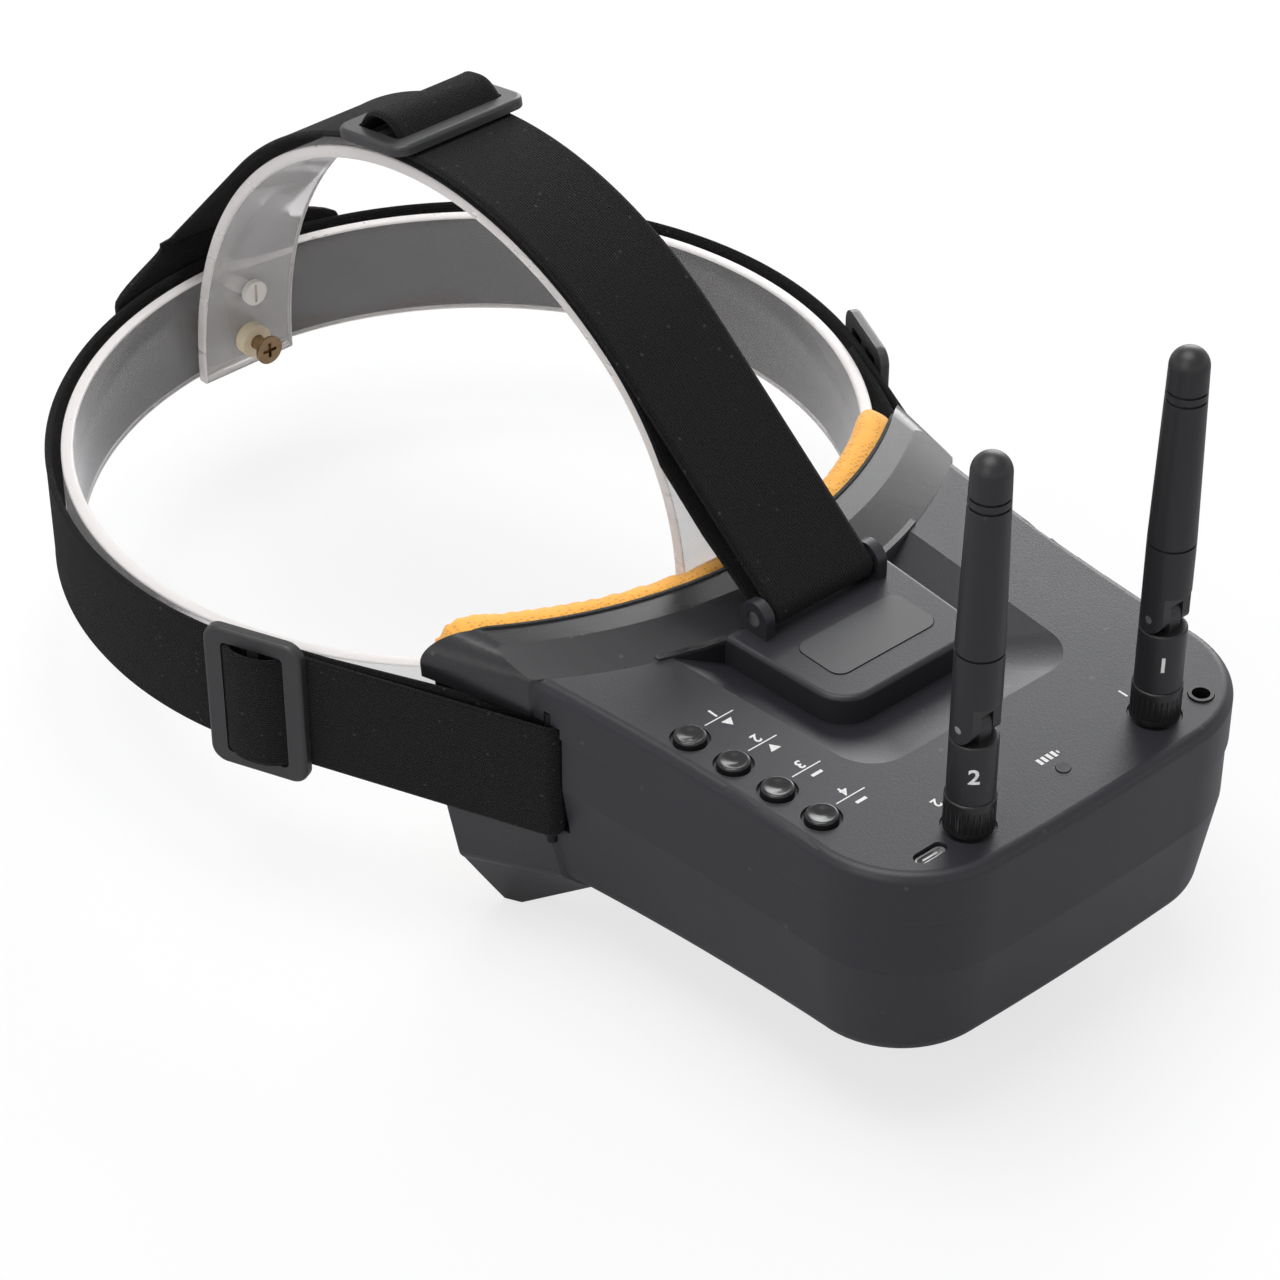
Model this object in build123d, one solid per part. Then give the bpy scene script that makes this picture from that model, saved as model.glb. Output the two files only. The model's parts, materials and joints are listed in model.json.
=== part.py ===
from build123d import *
from math import atan2, cos, degrees, radians, sin, sqrt
import os

# Box-shaped video goggles with a flared face frame, two folding antennas, an elastic head
# strap and a clear former that holds the strap in the shape of a head.
#
# Everything is modelled in millimetres about the point on the flat top face midway between
# the two antennas: +X to the wearer's left, +Y towards the wearer, +Z up. The last lines
# move it to its row frame, whose origin is the centre of the base of the whole part.

# ---- casing ----
TOP_HEIGHT = 72.5          # top face above the lowest point of the face frame
CASE_REAR_HALF = 62.0      # half-width of the top face where the face frame starts
CASE_MID_HALF = 56.7
CASE_FRONT_HALF = 54.9
CASE_REAR_Y = 93.3
CASE_MID_Y = 50.0
CASE_CORNER_Y = 14.7
CASE_CORNER_R = 26.0
CASE_FRONT_BOW = 0.5       # the front wall is this much rounder than flat
CASE_FRONT_HEIGHT = 51.0   # depth of the casing at its front wall
CASE_BOTTOM_SLOPE = 3.3    # degrees: the bottom falls away towards the face
CASE_FACET_Z = -26.0       # the side walls lean inwards below this height
CASE_FACET_LEAN = 8.9      # degrees
CASE_TOP_ROUND = 2.4
CASE_BOTTOM_ROUND = 5.0
WALL = 2.2
SEAM_Z = -12.0             # top shell above, bottom shell below
SEAM_STEP = 0.5            # the bottom shell stands this much further in
SEAM_GAP = 0.3
TONGUE = 2.0               # height of the bottom shell's locating rib
FIT = 0.15                 # clearance between parts that only sit together
SLIDE_FIT = 0.1            # radial clearance of parts that move in each other

# ---- recess and raised block on the top face ----
RECESS_REAR_HALF = 36.0
RECESS_FRONT_HALF = 30.4
RECESS_FRONT_Y = 24.0
RECESS_ROUND = 10.0
RECESS_DEPTH = 5.5
BLOCK_REAR_HALF = 24.0
BLOCK_FRONT_HALF = 20.6
BLOCK_FRONT_Y = 42.2
BLOCK_ROUND = 8.0
BLOCK_TOP = 1.5
LABEL_HALF = 14.6
LABEL_FRONT_Y = 50.0
LABEL_REAR_Y = 63.8
LABEL_THICK = 0.6
LABEL_PROUD = 0.2

# ---- ears and bar that hold the crown strap ----
EAR_R = 4.0
EAR_THICK = 2.6
EAR_Y = 73.0
EAR_Z = 5.2
EAR_CLEAR = 1.4            # the ears overhang the face frame from this height up
ANCHOR_R = 1.75

# ---- casing screws ----
SCREW_POINTS = [(-44.0, 12.5), (44.0, 12.5), (-50.0, 70.0), (50.0, 70.0)]
SCREW_R = 1.25
SCREW_HEAD_R = 2.4
SCREW_HEAD_Z = -44.0       # underside of the heads in their wells
BOSS_R = 3.2

# ---- face frame ----
FACE_R = 107.0             # plan radius of every curve that follows the forehead
JOIN_Y = 73.5              # foremost points of those curves on the centre line
CREASE_Y = 85.5
RIM_Y = 92.5
FRAME_TOP = 2.2
FRAME_WALL = 2.2
FLARE_START_Y = 84.0       # the flare is ruled from a section here ...
FLARE_END_Y = 130.0        # ... to one here, of which the rim curve leaves less
FLARE_START = [(59.1, FRAME_TOP), (59.1, -26.0), (54.8, -53.5), (50.5, -56.3)]
FLARE_END = [(74.6, FRAME_TOP), (73.2, -26.0), (70.3, -62.0), (61.0, -91.0)]
FLARE_START_ROUNDS = (2.4, 20.0, 3.0)
FLARE_END_ROUNDS = (10.0, 60.0, 8.0)
CURTAIN = 1.6
NOSE_LOW_HALF = 31.0
NOSE_TOP_HALF = 9.0
NOSE_HEIGHT = 25.0
NOSE_ROUND = 7.0

# ---- foam pad ----
FOAM_R = 97.0              # plan radius of the foam's face: it is thickest at the temples
FOAM_THICK = 5.2           # on the centre line
FOAM_WIDTH = 11.0
FOAM_TOP = 1.8
FOAM_POINTS = [(65.0, FOAM_TOP), (65.0, -10.0), (62.0, -46.0), (54.0, -66.0), (32.0, -60.0)]
FOAM_ROUND = 7.0
COVER = 0.9
BACKING = 0.7

# ---- straps and former ----
STRAP_WIDE = 29.0
STRAP_THICK = 1.5
STRAP_MID_Z = -24.3
STRAP_SPARE = 0.3          # above and below the strap where it passes through plastic
RING_R = 94.0              # outside of the clear ring
RING_Y = 189.0
RING_THICK = 3.0
RING_WIDE = 27.0
ARCH_WIDE = 27.0
ARCH_THICK = 3.0
POST_X = 59.9
POST_Y = 89.2
POST_R = 1.2
POST_END = 2.6             # each post end sits this deep in its lump
LAYER_GAP = 0.3            # between strap layers, and between strap and ring
RETURN_LIFT = LAYER_GAP + STRAP_THICK / 2      # middle of the inner layer above what it lies on
STRAP_LIFT = RETURN_LIFT + LAYER_GAP + STRAP_THICK
ARCH_FRONT_Y = 99.1        # outer face of the clear arch where it hangs down in front
ARCH_REAR_Y = 278.9
ARCH_CENTRE = (181.0, -36.0)
ARCH_R = ARCH_REAR_Y - ARCH_CENTRE[0]
ARCH_LOW = -38.0
ARCH_CORNER = 60.0
RETURN_SLACK = (92.5, 14.5)    # where the slack layer sags to between the bar and the arch
RETURN_LEAVE = 150.0           # angle at which it leaves the front bend of the arch
PATCH_TOP = -1.0
PATCH_R = RING_R + STRAP_LIFT + STRAP_THICK / 2 + 0.2
PATCH_THICK = 2.6
PATCH_SPREAD = 20.0        # degrees to each side of the rear
EAR_INNER = STRAP_WIDE / 2 + 0.5

# ---- fasteners at the back and front of the former: (x, z) ----
SCREW_AT = (0.0, -29.5)
PEG_AT = (0.0, -15.0)
REAR_SCREW_R = 1.75
PEG_R = 2.0
PEG_HEAD_R = 3.2
WASHER_R = 4.2
REAR_HOLES = [(*SCREW_AT, REAR_SCREW_R + FIT), (*PEG_AT, PEG_R + FIT)]
RIVET_Z = -18.0
RIVET_R = 1.5

# ---- sliders ----
SLIDER_LONG = 24.0
SLIDER_WIDE = 37.0
SLIDER_BAR = 4.4
SLIDER_THICK = 2.4
SLIDER_AT = 56.5           # from the strap post to the slider's near edge
BAR_LIFT = 0.25            # the frame lies this far off the strap
CROWN_SLIDER_ANGLE = 10.0  # degrees behind upright

# ---- antennas ----
ANTENNA_X = 27.0
ANTENNA_R = 5.0
NUT_R = 5.3
NUT_TOP = 8.6
BASE_TOP = 23.0
PIN_RISE = 3.4             # hinge pin above the base's top face
SLEEVE_TOP = 44.0
WHIP_TOP = 89.0
WHIP_TIP_R = 4.1
SOCKET_R = 3.1
SOCKET_LOW = -8.5
PIN_Z = BASE_TOP + PIN_RISE
PIN_R = 0.9
PIN_SHY = 0.2              # the pin's ends lie this far below the barrel's surface
TONGUE_HALF = 1.6

# ---- controls on the top face ----
BUTTON_POINTS = [(-49.9, 56.8), (-48.8, 44.9), (-47.9, 32.9), (-47.1, 20.9)]
BUTTON_R = 3.5
BUTTON_WELL_R = 4.3
BUTTON_WELL_DEEP = 0.8
BUTTON_PROUD = 1.1
BUTTON_TRAVEL = 0.6
LED_R = 1.5
JACK_POINT = (38.9, -2.0)
JACK_HOLE_R = 1.95
JACK_RING_R = 2.7
USB_POINT = (-38.6, -1.0)
USB_LONG = 8.0
USB_DEEP = 3.0

# ---- optics ----
LENS_HALF = 47.0
LENS_HIGH = 19.0
LENS_Z = -29.5
LENS_Y = 64.0
LENS_R = 170.0
LENS_THICK = 10.0
SCREEN_HALF = 36.0
SCREEN_HIGH = 17.5
SCREEN_Y = 12.0
SCREEN_THICK = 3.4
TUNNEL_WALL = 1.4

# ---- boards and battery ----
BOARD = 1.6
MAIN_Y = 6.0
MAIN_HALF = 40.0
BOARD_LOW = -44.0
BOARD_HIGH = -11.0
INPUT_LOW = -6.0
KEY_LOW = -7.4
SWITCH_TOP = -4.4
BATTERY_HALF = 30.0
BATTERY_Y = (-4.6, 3.0)
BATTERY_Z = (-44.0, -29.5)


def prism(points, low, high):
    """A straight-sided solid over a closed polygon."""
    return extrude(Plane.XY.offset(low) * make_face(Polyline(*points, close=True)), high - low)


def block(x, y, z):
    """A box from three (low, high) pairs."""
    size = (x[1] - x[0], y[1] - y[0], z[1] - z[0])
    middle = ((x[0] + x[1]) / 2, (y[0] + y[1]) / 2, (z[0] + z[1]) / 2)
    return Pos(*middle) * Box(*size)


def rod(x, y, low, high, radius):
    return Pos(x, y, (low + high) / 2) * Cylinder(radius, high - low)


def rod_x(x0, x1, y, z, radius):
    return Pos((x0 + x1) / 2, y, z) * Rot(0, 90, 0) * Cylinder(radius, x1 - x0)


def rod_y(x, y0, y1, z, radius):
    return Pos(x, (y0 + y1) / 2, z) * Rot(90, 0, 0) * Cylinder(radius, y1 - y0)


def behind(front_y, radius=FACE_R):
    """Everything on the wearer's side of a face curve that starts at front_y."""
    reach = 300
    return rod(0, front_y + radius, -120, 60, radius) + block(
        (-reach, reach), (front_y + radius, 500), (-120, 60))


def before(front_y):
    return block((-150, 150), (-60, front_y + FACE_R - 1), (-120, 60)) - behind(front_y)


# ---------------------------------------------------------------- casing
def casing_outline(inset):
    """Plan of the casing, run on past the face frame so that the join can be cut to it."""
    run_on = 112.0
    corner_x = CASE_FRONT_HALF - CASE_CORNER_R
    front_y = CASE_CORNER_Y - CASE_CORNER_R
    lean = (CASE_REAR_HALF - CASE_MID_HALF) / (CASE_REAR_Y - CASE_MID_Y)
    rear_x = CASE_REAR_HALF + lean * (run_on - CASE_REAR_Y)
    diag = CASE_CORNER_R * sqrt(0.5)
    edges = []
    for side in (1, -1):
        wide = (side * rear_x, run_on)
        middle = (side * CASE_MID_HALF, CASE_MID_Y)
        corner = (side * CASE_FRONT_HALF, CASE_CORNER_Y)
        edges.append(ThreePointArc(wide, middle, corner))
        bend = (side * (corner_x + diag), CASE_CORNER_Y - diag)
        edges.append(ThreePointArc(corner, bend, (side * corner_x, front_y)))
    edges.append(ThreePointArc((corner_x, front_y), (0, front_y - CASE_FRONT_BOW), (-corner_x, front_y)))
    edges.append(Line((-rear_x, run_on), (rear_x, run_on)))
    face = make_face(Curve() + edges)
    return offset(face, -inset, kind=Kind.INTERSECTION) if inset else face


def below_bottom(lift):
    """Everything under the sloping bottom, raised by lift."""
    front_y = CASE_CORNER_Y - CASE_CORNER_R
    cut = Pos(0, 150, -50) * Box(300, 400, 100)
    return Pos(0, front_y, lift - CASE_FRONT_HEIGHT) * Rot(-CASE_BOTTOM_SLOPE, 0, 0) * cut


def casing_block(inset, rounded):
    face = casing_outline(inset)
    upper = extrude(Plane.XY.offset(CASE_FACET_Z) * face, -inset - CASE_FACET_Z)
    lower = extrude(Plane.XY.offset(CASE_FACET_Z) * face, -40, taper=CASE_FACET_LEAN)
    solid = upper + lower - below_bottom(inset)
    if rounded:
        solid = fillet(solid.faces().sort_by(Axis.Z)[0].edges(), CASE_BOTTOM_ROUND)
        solid = fillet(solid.faces().sort_by(Axis.Z)[-1].edges(), CASE_TOP_ROUND)
    return solid & before(JOIN_Y)


def trapezoid(rear_half, front_half, front_y, rear_y, radius):
    rear = [(rear_half, rear_y), (-rear_half, rear_y)]
    front = [(-front_half, front_y), (front_half, front_y)]
    face = make_face(Polyline(*rear, *front, close=True))
    return fillet(face.vertices().sort_by(Axis.Y)[:2], radius)


def recess(grow):
    """The dish round the raised block: it slopes from the top face to the block's foot."""
    rear_y = 96.0
    brim = trapezoid(RECESS_REAR_HALF, RECESS_FRONT_HALF, RECESS_FRONT_Y, rear_y, RECESS_ROUND)
    foot = trapezoid(BLOCK_REAR_HALF, BLOCK_FRONT_HALF, BLOCK_FRONT_Y, rear_y, BLOCK_ROUND)
    if grow:
        brim = offset(brim, grow)
        foot = offset(foot, grow)
    top = Plane.XY.offset(0.0 if not grow else 0.05)
    return loft([top * brim, Plane.XY.offset(-RECESS_DEPTH - grow) * foot])


def raised_block(inset):
    face = trapezoid(BLOCK_REAR_HALF, BLOCK_FRONT_HALF, BLOCK_FRONT_Y, 96.0, BLOCK_ROUND)
    if inset:
        face = offset(face, -inset)
    solid = extrude(Plane.XY.offset(-RECESS_DEPTH - 1) * face, RECESS_DEPTH + 1 + BLOCK_TOP - inset)
    if not inset:
        solid = fillet(solid.faces().sort_by(Axis.Z)[-1].edges(), 1.2)
    return solid & before(JOIN_Y)


def label_outline(inset):
    low = (-LABEL_HALF + inset, LABEL_FRONT_Y + inset)
    high = (LABEL_HALF - inset, LABEL_REAR_Y - inset)
    middle = ((low[0] + high[0]) / 2, (low[1] + high[1]) / 2)
    return Pos(*middle) * RectangleRounded(high[0] - low[0], high[1] - low[1], 3.0)


def ears():
    solids = []
    for side in (-1, 1):
        x0 = side * EAR_INNER
        x1 = side * (EAR_INNER + EAR_THICK)
        low, high = min(x0, x1), max(x0, x1)
        round_end = rod_x(low, high, EAR_Y, EAR_Z, EAR_R)
        foot = block((low, high), (EAR_Y - EAR_R, EAR_Y + EAR_R), (-RECESS_DEPTH, EAR_Z))
        solids.append(round_end + foot - (behind(JOIN_Y) & block((-90, 90), (60, 90), (-60, EAR_CLEAR))))
    bore = rod_x(-EAR_INNER - EAR_THICK - 1, EAR_INNER + EAR_THICK + 1, EAR_Y, EAR_Z, ANCHOR_R + 0.05)
    return solids[0] + solids[1] - bore


def strap_slot():
    """The slots in both side walls that the strap passes through to reach its post."""
    half = STRAP_WIDE / 2 + STRAP_SPARE
    cut = None
    for side in (-1, 1):
        x = sorted((side * 55.5, side * 70))
        one = block(x, (85.6, 94.0), (STRAP_MID_Z - half, STRAP_MID_Z + half))
        cut = one if cut is None else cut + one
    return cut


def post_blocks(above):
    """Lumps inside the wall that hold the ends of the strap posts."""
    half = STRAP_WIDE / 2 + STRAP_SPARE
    low, high = ((STRAP_MID_Z + half, STRAP_MID_Z + half + 4) if above
                 else (STRAP_MID_Z - half - 4, STRAP_MID_Z - half))
    lumps = [block(sorted((side * 57.4, side * 61.2)), (87.0, 91.4), (low, high)) for side in (-1, 1)]
    return lumps[0] + lumps[1]


def post_rods(radius, spare):
    half = STRAP_WIDE / 2 + STRAP_SPARE + POST_END + spare
    return [rod(side * POST_X, POST_Y, STRAP_MID_Z - half, STRAP_MID_Z + half, radius) for side in (-1, 1)]


def top_shell():
    inner = casing_block(WALL, False)
    skin = casing_block(0, True) - recess(0)
    hollow = inner - recess(WALL) - raised_block(0)
    hollow = hollow + (raised_block(WALL) & block((-60, 60), (0, JOIN_Y - 2), (-10, 10)))
    solid = skin + raised_block(0) - hollow
    solid = solid + (post_blocks(True) & inner)
    for x, y in SCREW_POINTS:
        solid = solid + rod(x, y, SEAM_Z, -1.0, BOSS_R)
    solid = solid & block((-90, 90), (-60, 120), (SEAM_Z, 20))
    solid = solid + ears()
    solid = solid - strap_slot()
    for one in post_rods(POST_R + FIT, 0.2):
        solid = solid - one
    for x, y in SCREW_POINTS:
        solid = solid - rod(x, y, SEAM_Z - 1, -4.0, SCREW_R)
    return solid - top_holes()


def top_holes():
    """Openings in the top face for buttons, sockets, light, jack, USB and label."""
    cut = rod(0, 0, -5, 1, LED_R + FIT)
    cut = cut + rod(JACK_POINT[0], JACK_POINT[1], -5, 1, JACK_RING_R + FIT)
    cut = cut + usb_slot(FIT, -5, 1)
    for x, y in BUTTON_POINTS:
        cut = cut + rod(x, y, -5, 1, BUTTON_R + SLIDE_FIT)
        cut = cut + rod(x, y, -BUTTON_WELL_DEEP, 1, BUTTON_WELL_R)
    for side in (-1, 1):
        cut = cut + rod(side * ANTENNA_X, 0, -5, 1, SOCKET_R + FIT)
        cut = cut + rod(side * ANTENNA_X, 0, -0.6, 1, NUT_R + 0.5)
    return cut + extrude(Plane.XY.offset(BLOCK_TOP - LABEL_THICK + LABEL_PROUD) * label_outline(-FIT), 2)


def usb_slot(grow, low, high):
    face = SlotOverall(USB_LONG + 2 * grow, USB_DEEP + 2 * grow)
    return extrude(Pos(USB_POINT[0], USB_POINT[1], low) * face, high - low)


def bottom_shell():
    outer = casing_block(SEAM_STEP, True)
    inner = casing_block(SEAM_STEP + WALL, False)
    top = SEAM_Z - SEAM_GAP
    solid = outer - inner
    solid = solid + (post_blocks(False) & inner)
    for x, y in SCREW_POINTS:
        solid = solid + (rod(x, y, -60, top, BOSS_R) & (outer + inner))
    solid = solid & block((-90, 90), (-60, 120), (-80, top))
    tongue = casing_block(WALL + FIT, False) - casing_block(WALL + FIT + 1.2, False)
    tongue = tongue & block((-90, 90), (-60, 84.0), (top - 2.5, SEAM_Z + TONGUE))
    for x, y in SCREW_POINTS:
        tongue = tongue - rod(x, y, SEAM_Z - 0.5, 0, BOSS_R + 0.3)
    solid = solid + tongue - strap_slot()
    for one in post_rods(POST_R + FIT, 0.2):
        solid = solid - one
    for x, y in SCREW_POINTS:
        solid = solid - rod(x, y, -70, 0, SCREW_R + 0.25) - rod(x, y, -70, SCREW_HEAD_Z, SCREW_HEAD_R + 0.2)
    return solid


def casing_screws():
    return [rod(x, y, SCREW_HEAD_Z + 0.05, -5.0, SCREW_R - 0.05)
            + rod(x, y, SCREW_HEAD_Z - 2.0, SCREW_HEAD_Z, SCREW_HEAD_R)
            - block((x - 0.3, x + 0.3), (y - 1.4, y + 1.4), (SCREW_HEAD_Z - 2.1, SCREW_HEAD_Z - 1.1))
            - block((x - 1.4, x + 1.4), (y - 0.3, y + 0.3), (SCREW_HEAD_Z - 2.1, SCREW_HEAD_Z - 1.1))
            for x, y in SCREW_POINTS]


# ---------------------------------------------------------------- face frame and foam
def rounded_section(points, rounds, inset):
    """A closed section from its right half, mirrored, with its corners rounded and then inset."""
    mirrored = [(-x, z) for x, z in reversed(points)]
    face = make_face(Polyline(*points, *mirrored, close=True))
    for (x, z), radius in zip(points, rounds):
        near = [v for v in face.vertices() if abs(abs(v.X) - x) < 0.01 and abs(v.Y - z) < 0.01]
        face = fillet(near, radius)
    return offset(face, -inset) if inset else face


def flare(inset):
    """Straight back from the casing, then flaring out in straight lines towards the rim."""
    start = rounded_section(FLARE_START, FLARE_START_ROUNDS, inset)
    end = rounded_section(FLARE_END, FLARE_END_ROUNDS, inset)
    straight = extrude(Pos(0, FLARE_START_Y, 0) * Rot(90, 0, 0) * start, 24)
    wide = loft([Pos(0, y, 0) * Rot(90, 0, 0) * face for y, face in
                 ((FLARE_START_Y, start), (FLARE_END_Y, end))], ruled=True)
    return straight + wide


def nose_notch(grow):
    deep = TOP_HEIGHT
    slope = (NOSE_LOW_HALF - NOSE_TOP_HALF) / NOSE_HEIGHT
    top = NOSE_HEIGHT - TOP_HEIGHT
    low_half = NOSE_TOP_HALF + slope * (top + 2 * deep)
    points = [(low_half, -2 * deep), (NOSE_TOP_HALF, top), (-NOSE_TOP_HALF, top), (-low_half, -2 * deep)]
    face = make_face(Polyline(*points, close=True))
    face = fillet(face.vertices().sort_by(Axis.Y)[-2:], NOSE_ROUND)
    if grow:
        face = offset(face, grow)
    return extrude(Pos(0, 170, 0) * Rot(90, 0, 0) * face, 110)


def frame_solid(inset):
    foot = -TOP_HEIGHT + inset
    return (flare(inset) & block((-150, 150), (0, 200), (foot, 50))) - nose_notch(inset)


def strap_side(side):
    """Plane frame along one side strap: start point, direction and outward normal."""
    gap = sqrt(POST_X ** 2 + (RING_Y - POST_Y) ** 2)
    to_post = atan2(POST_Y - RING_Y, POST_X)
    near = POST_R + FIT + STRAP_THICK / 2
    far = RING_R + STRAP_LIFT
    run = sqrt(gap ** 2 - (far - near) ** 2)
    swing = to_post + atan2(run, far - near)
    normal = (cos(swing), sin(swing))
    along = (-normal[1], normal[0])
    return near, far, run, (side * normal[0], normal[1]), (side * along[0], along[1])


def strap_frame(side):
    """Where the strap leaves its post, its outward normal, its direction and its straight run."""
    near, _, run, normal, along = strap_side(side)
    start = (side * POST_X + near * normal[0], POST_Y + near * normal[1], STRAP_MID_Z)
    return start, normal, along, run


def along_strap(side, low, high, out, up):
    """A box by distance along the strap, distance outwards and height from its middle."""
    start, normal, along, run = strap_frame(side)
    turn = degrees(atan2(along[1], along[0]))
    box = block((low, high), sorted((out[0] * -side, out[1] * -side)), up)
    return Pos(*start) * Rot(0, 0, turn) * box


def channel(side, grow):
    """Room for the side strap where it passes the flare."""
    half = STRAP_WIDE / 2 + STRAP_SPARE + grow
    return along_strap(side, -6, 60, (-5.6 - grow, 30), (-half, half))


def face_frame():
    outer = frame_solid(0)
    inner = frame_solid(FRAME_WALL)
    solid = outer - inner
    for side in (-1, 1):
        solid = solid + (channel(side, FRAME_WALL) & outer)
    solid = solid & behind(JOIN_Y)
    solid = solid - behind(RIM_Y)
    solid = solid - channel(-1, 0) - channel(1, 0)
    crown = block((-100, 100), (60, 140), (0, 10))
    foot = Plane.XY.offset(-0.01) * crease_face(JOIN_Y - 0.2)
    slope = loft([foot, Plane.XY.offset(FRAME_TOP) * crease_face(CREASE_Y)])
    solid = solid - (crown & before(CREASE_Y)) + (slope & outer & before(CREASE_Y) & crown)
    return solid + recess_curtain()


def recess_curtain():
    """The wall that closes the recess where it runs under the face frame."""
    half = RECESS_REAR_HALF + CURTAIN
    wall = behind(JOIN_Y) - behind(JOIN_Y + CURTAIN)
    return wall & block((-half, half), (60, 95), (-RECESS_DEPTH - WALL, 0.5))


def crease_face(front_y):
    """A plan face whose front edge follows the forehead curve from front_y."""
    half = 90.0
    dip = FACE_R - sqrt(FACE_R ** 2 - half ** 2)
    front = ThreePointArc((-half, front_y + dip), (0, front_y), (half, front_y + dip))
    rear = 175.0
    return make_face(Curve() + [front, Line((half, front_y + dip), (half, rear)),
                                Line((half, rear), (-half, rear)), Line((-half, rear), (-half, front_y + dip))])


def foam_prism(inset):
    """The foam's outline run straight back, without the nose notch's share."""
    mirrored = [(-x, z) for x, z in reversed(FOAM_POINTS)]
    face = make_face(Polyline(*FOAM_POINTS, *mirrored, close=True))
    corners = [v for v in face.vertices() if abs(v.X) > FOAM_POINTS[-1][0] + 1]
    face = fillet(corners, FOAM_ROUND)
    if inset:
        face = offset(face, -inset)
    return extrude(Pos(0, 170, 0) * Rot(90, 0, 0) * face, 110) - nose_notch(2.0 + inset)


def foam_ring(outside, inside, near, far, far_radius):
    """A ring that follows the rim, between two insets of the foam's outline and two face curves."""
    ring = foam_prism(outside) - foam_prism(inside)
    ring = (ring & behind(near)) - behind(far, far_radius)
    former = Pos(0, RING_Y, STRAP_MID_Z) * Cylinder(RING_R + 0.4, RING_WIDE + 3)
    plate = block((-ARCH_WIDE / 2 - 0.5, ARCH_WIDE / 2 + 0.5), (ARCH_FRONT_Y - 0.4, 130), (-60, 20))
    ring = ring - former - plate
    for side in (-1, 1):
        ring = ring - channel(side, FRAME_WALL + 0.3)
    return ring


def foam_backing():
    return foam_ring(-0.8, FOAM_WIDTH, RIM_Y, RIM_Y + BACKING, FACE_R)


def foam_cover():
    near = RIM_Y + BACKING
    far = near + FOAM_THICK
    core = foam_ring(COVER, FOAM_WIDTH - COVER, near, far - COVER, FOAM_R)
    return foam_ring(0, FOAM_WIDTH, near, far, FOAM_R) - core


def face_foam():
    near = RIM_Y + BACKING
    return foam_ring(COVER, FOAM_WIDTH - COVER, near, near + FOAM_THICK - COVER, FOAM_R)


# ---------------------------------------------------------------- optics and electronics
def upright(half, high, radius):
    """A rounded rectangle in the XZ plane, centred on the optical axis."""
    return Pos(0, 0, LENS_Z) * Rot(90, 0, 0) * RectangleRounded(2 * half, 2 * high, radius)


def upright_prism(half, high, radius, y0, y1):
    return extrude(Pos(0, y1, 0) * upright(half, high, radius), y1 - y0)


def lens():
    plate = upright_prism(LENS_HALF, LENS_HIGH, 6, LENS_Y, LENS_Y + LENS_THICK)
    ball = Pos(0, LENS_Y + LENS_THICK - LENS_R, LENS_Z) * Sphere(LENS_R)
    return plate & ball


def lens_frame():
    ring = upright_prism(LENS_HALF + 2.2, LENS_HIGH + 1.6, 7, LENS_Y - 2.5, LENS_Y + 2.4)
    ring = ring - upright_prism(LENS_HALF + FIT, LENS_HIGH + FIT, 6, LENS_Y - FIT, LENS_Y + 10)
    return ring - upright_prism(LENS_HALF - 2, LENS_HIGH - 2, 5, LENS_Y - 10, LENS_Y + 10)


def light_tunnel():
    front_y = SCREEN_Y + SCREEN_THICK + 0.1
    rear_y = LENS_Y - 2.6

    def funnel(grow, y0, y1):
        near = Pos(0, y0, 0) * upright(SCREEN_HALF - 1.5 + grow, SCREEN_HIGH - 1.5 + grow, 3)
        far = Pos(0, y1, 0) * upright(LENS_HALF - 2 + grow, LENS_HIGH - 2 + grow, 5)
        return loft([near, far])

    return funnel(TUNNEL_WALL, front_y, rear_y) - funnel(0, front_y - 0.01, rear_y + 0.01)


def display_panel():
    return upright_prism(SCREEN_HALF, SCREEN_HIGH, 1, SCREEN_Y, SCREEN_Y + SCREEN_THICK)


def display_holder():
    tray = upright_prism(SCREEN_HALF + 2, SCREEN_HIGH + 1.2, 2, SCREEN_Y - 1.6, SCREEN_Y + SCREEN_THICK)
    return tray - upright_prism(SCREEN_HALF + FIT, SCREEN_HIGH + FIT, 1, SCREEN_Y - FIT, SCREEN_Y + 10) \
        - upright_prism(SCREEN_HALF - 8, SCREEN_HIGH - 6, 2, SCREEN_Y - 5, SCREEN_Y + 5)


def main_board():
    board = block((-MAIN_HALF, MAIN_HALF), (MAIN_Y, MAIN_Y + BOARD), (BOARD_LOW, BOARD_HIGH))
    for x in (-MAIN_HALF + 4, MAIN_HALF - 4):
        for z in (BOARD_LOW + 4, BOARD_HIGH - 4):
            board = board - rod_y(x, 0, 20, z, 1.2)
    return board


def board_screws():
    solids = []
    for x in (-MAIN_HALF + 4, MAIN_HALF - 4):
        for z in (BOARD_LOW + 4, BOARD_HIGH - 4):
            solids.append(rod_y(x, MAIN_Y - 1.6, MAIN_Y, z, 2.0) + rod_y(x, MAIN_Y, MAIN_Y + 4.2, z, 1.1))
    return solids


def receiver_shields():
    return [block((side * 18 - 10, side * 18 + 10), (MAIN_Y - 2.6, MAIN_Y), (-28, -13)) for side in (-1, 1)]


def battery():
    cell = block((-BATTERY_HALF, BATTERY_HALF), BATTERY_Y, BATTERY_Z)
    return fillet(cell.edges().filter_by(Axis.X), 2.0)


def input_board():
    board = block((-43, 43), (-3.6, 8.0), (INPUT_LOW - BOARD, INPUT_LOW))
    for side in (-1, 1):
        board = board - rod(side * ANTENNA_X, 0, INPUT_LOW - 3, 0, SOCKET_R + 1.2)
    return board


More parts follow.
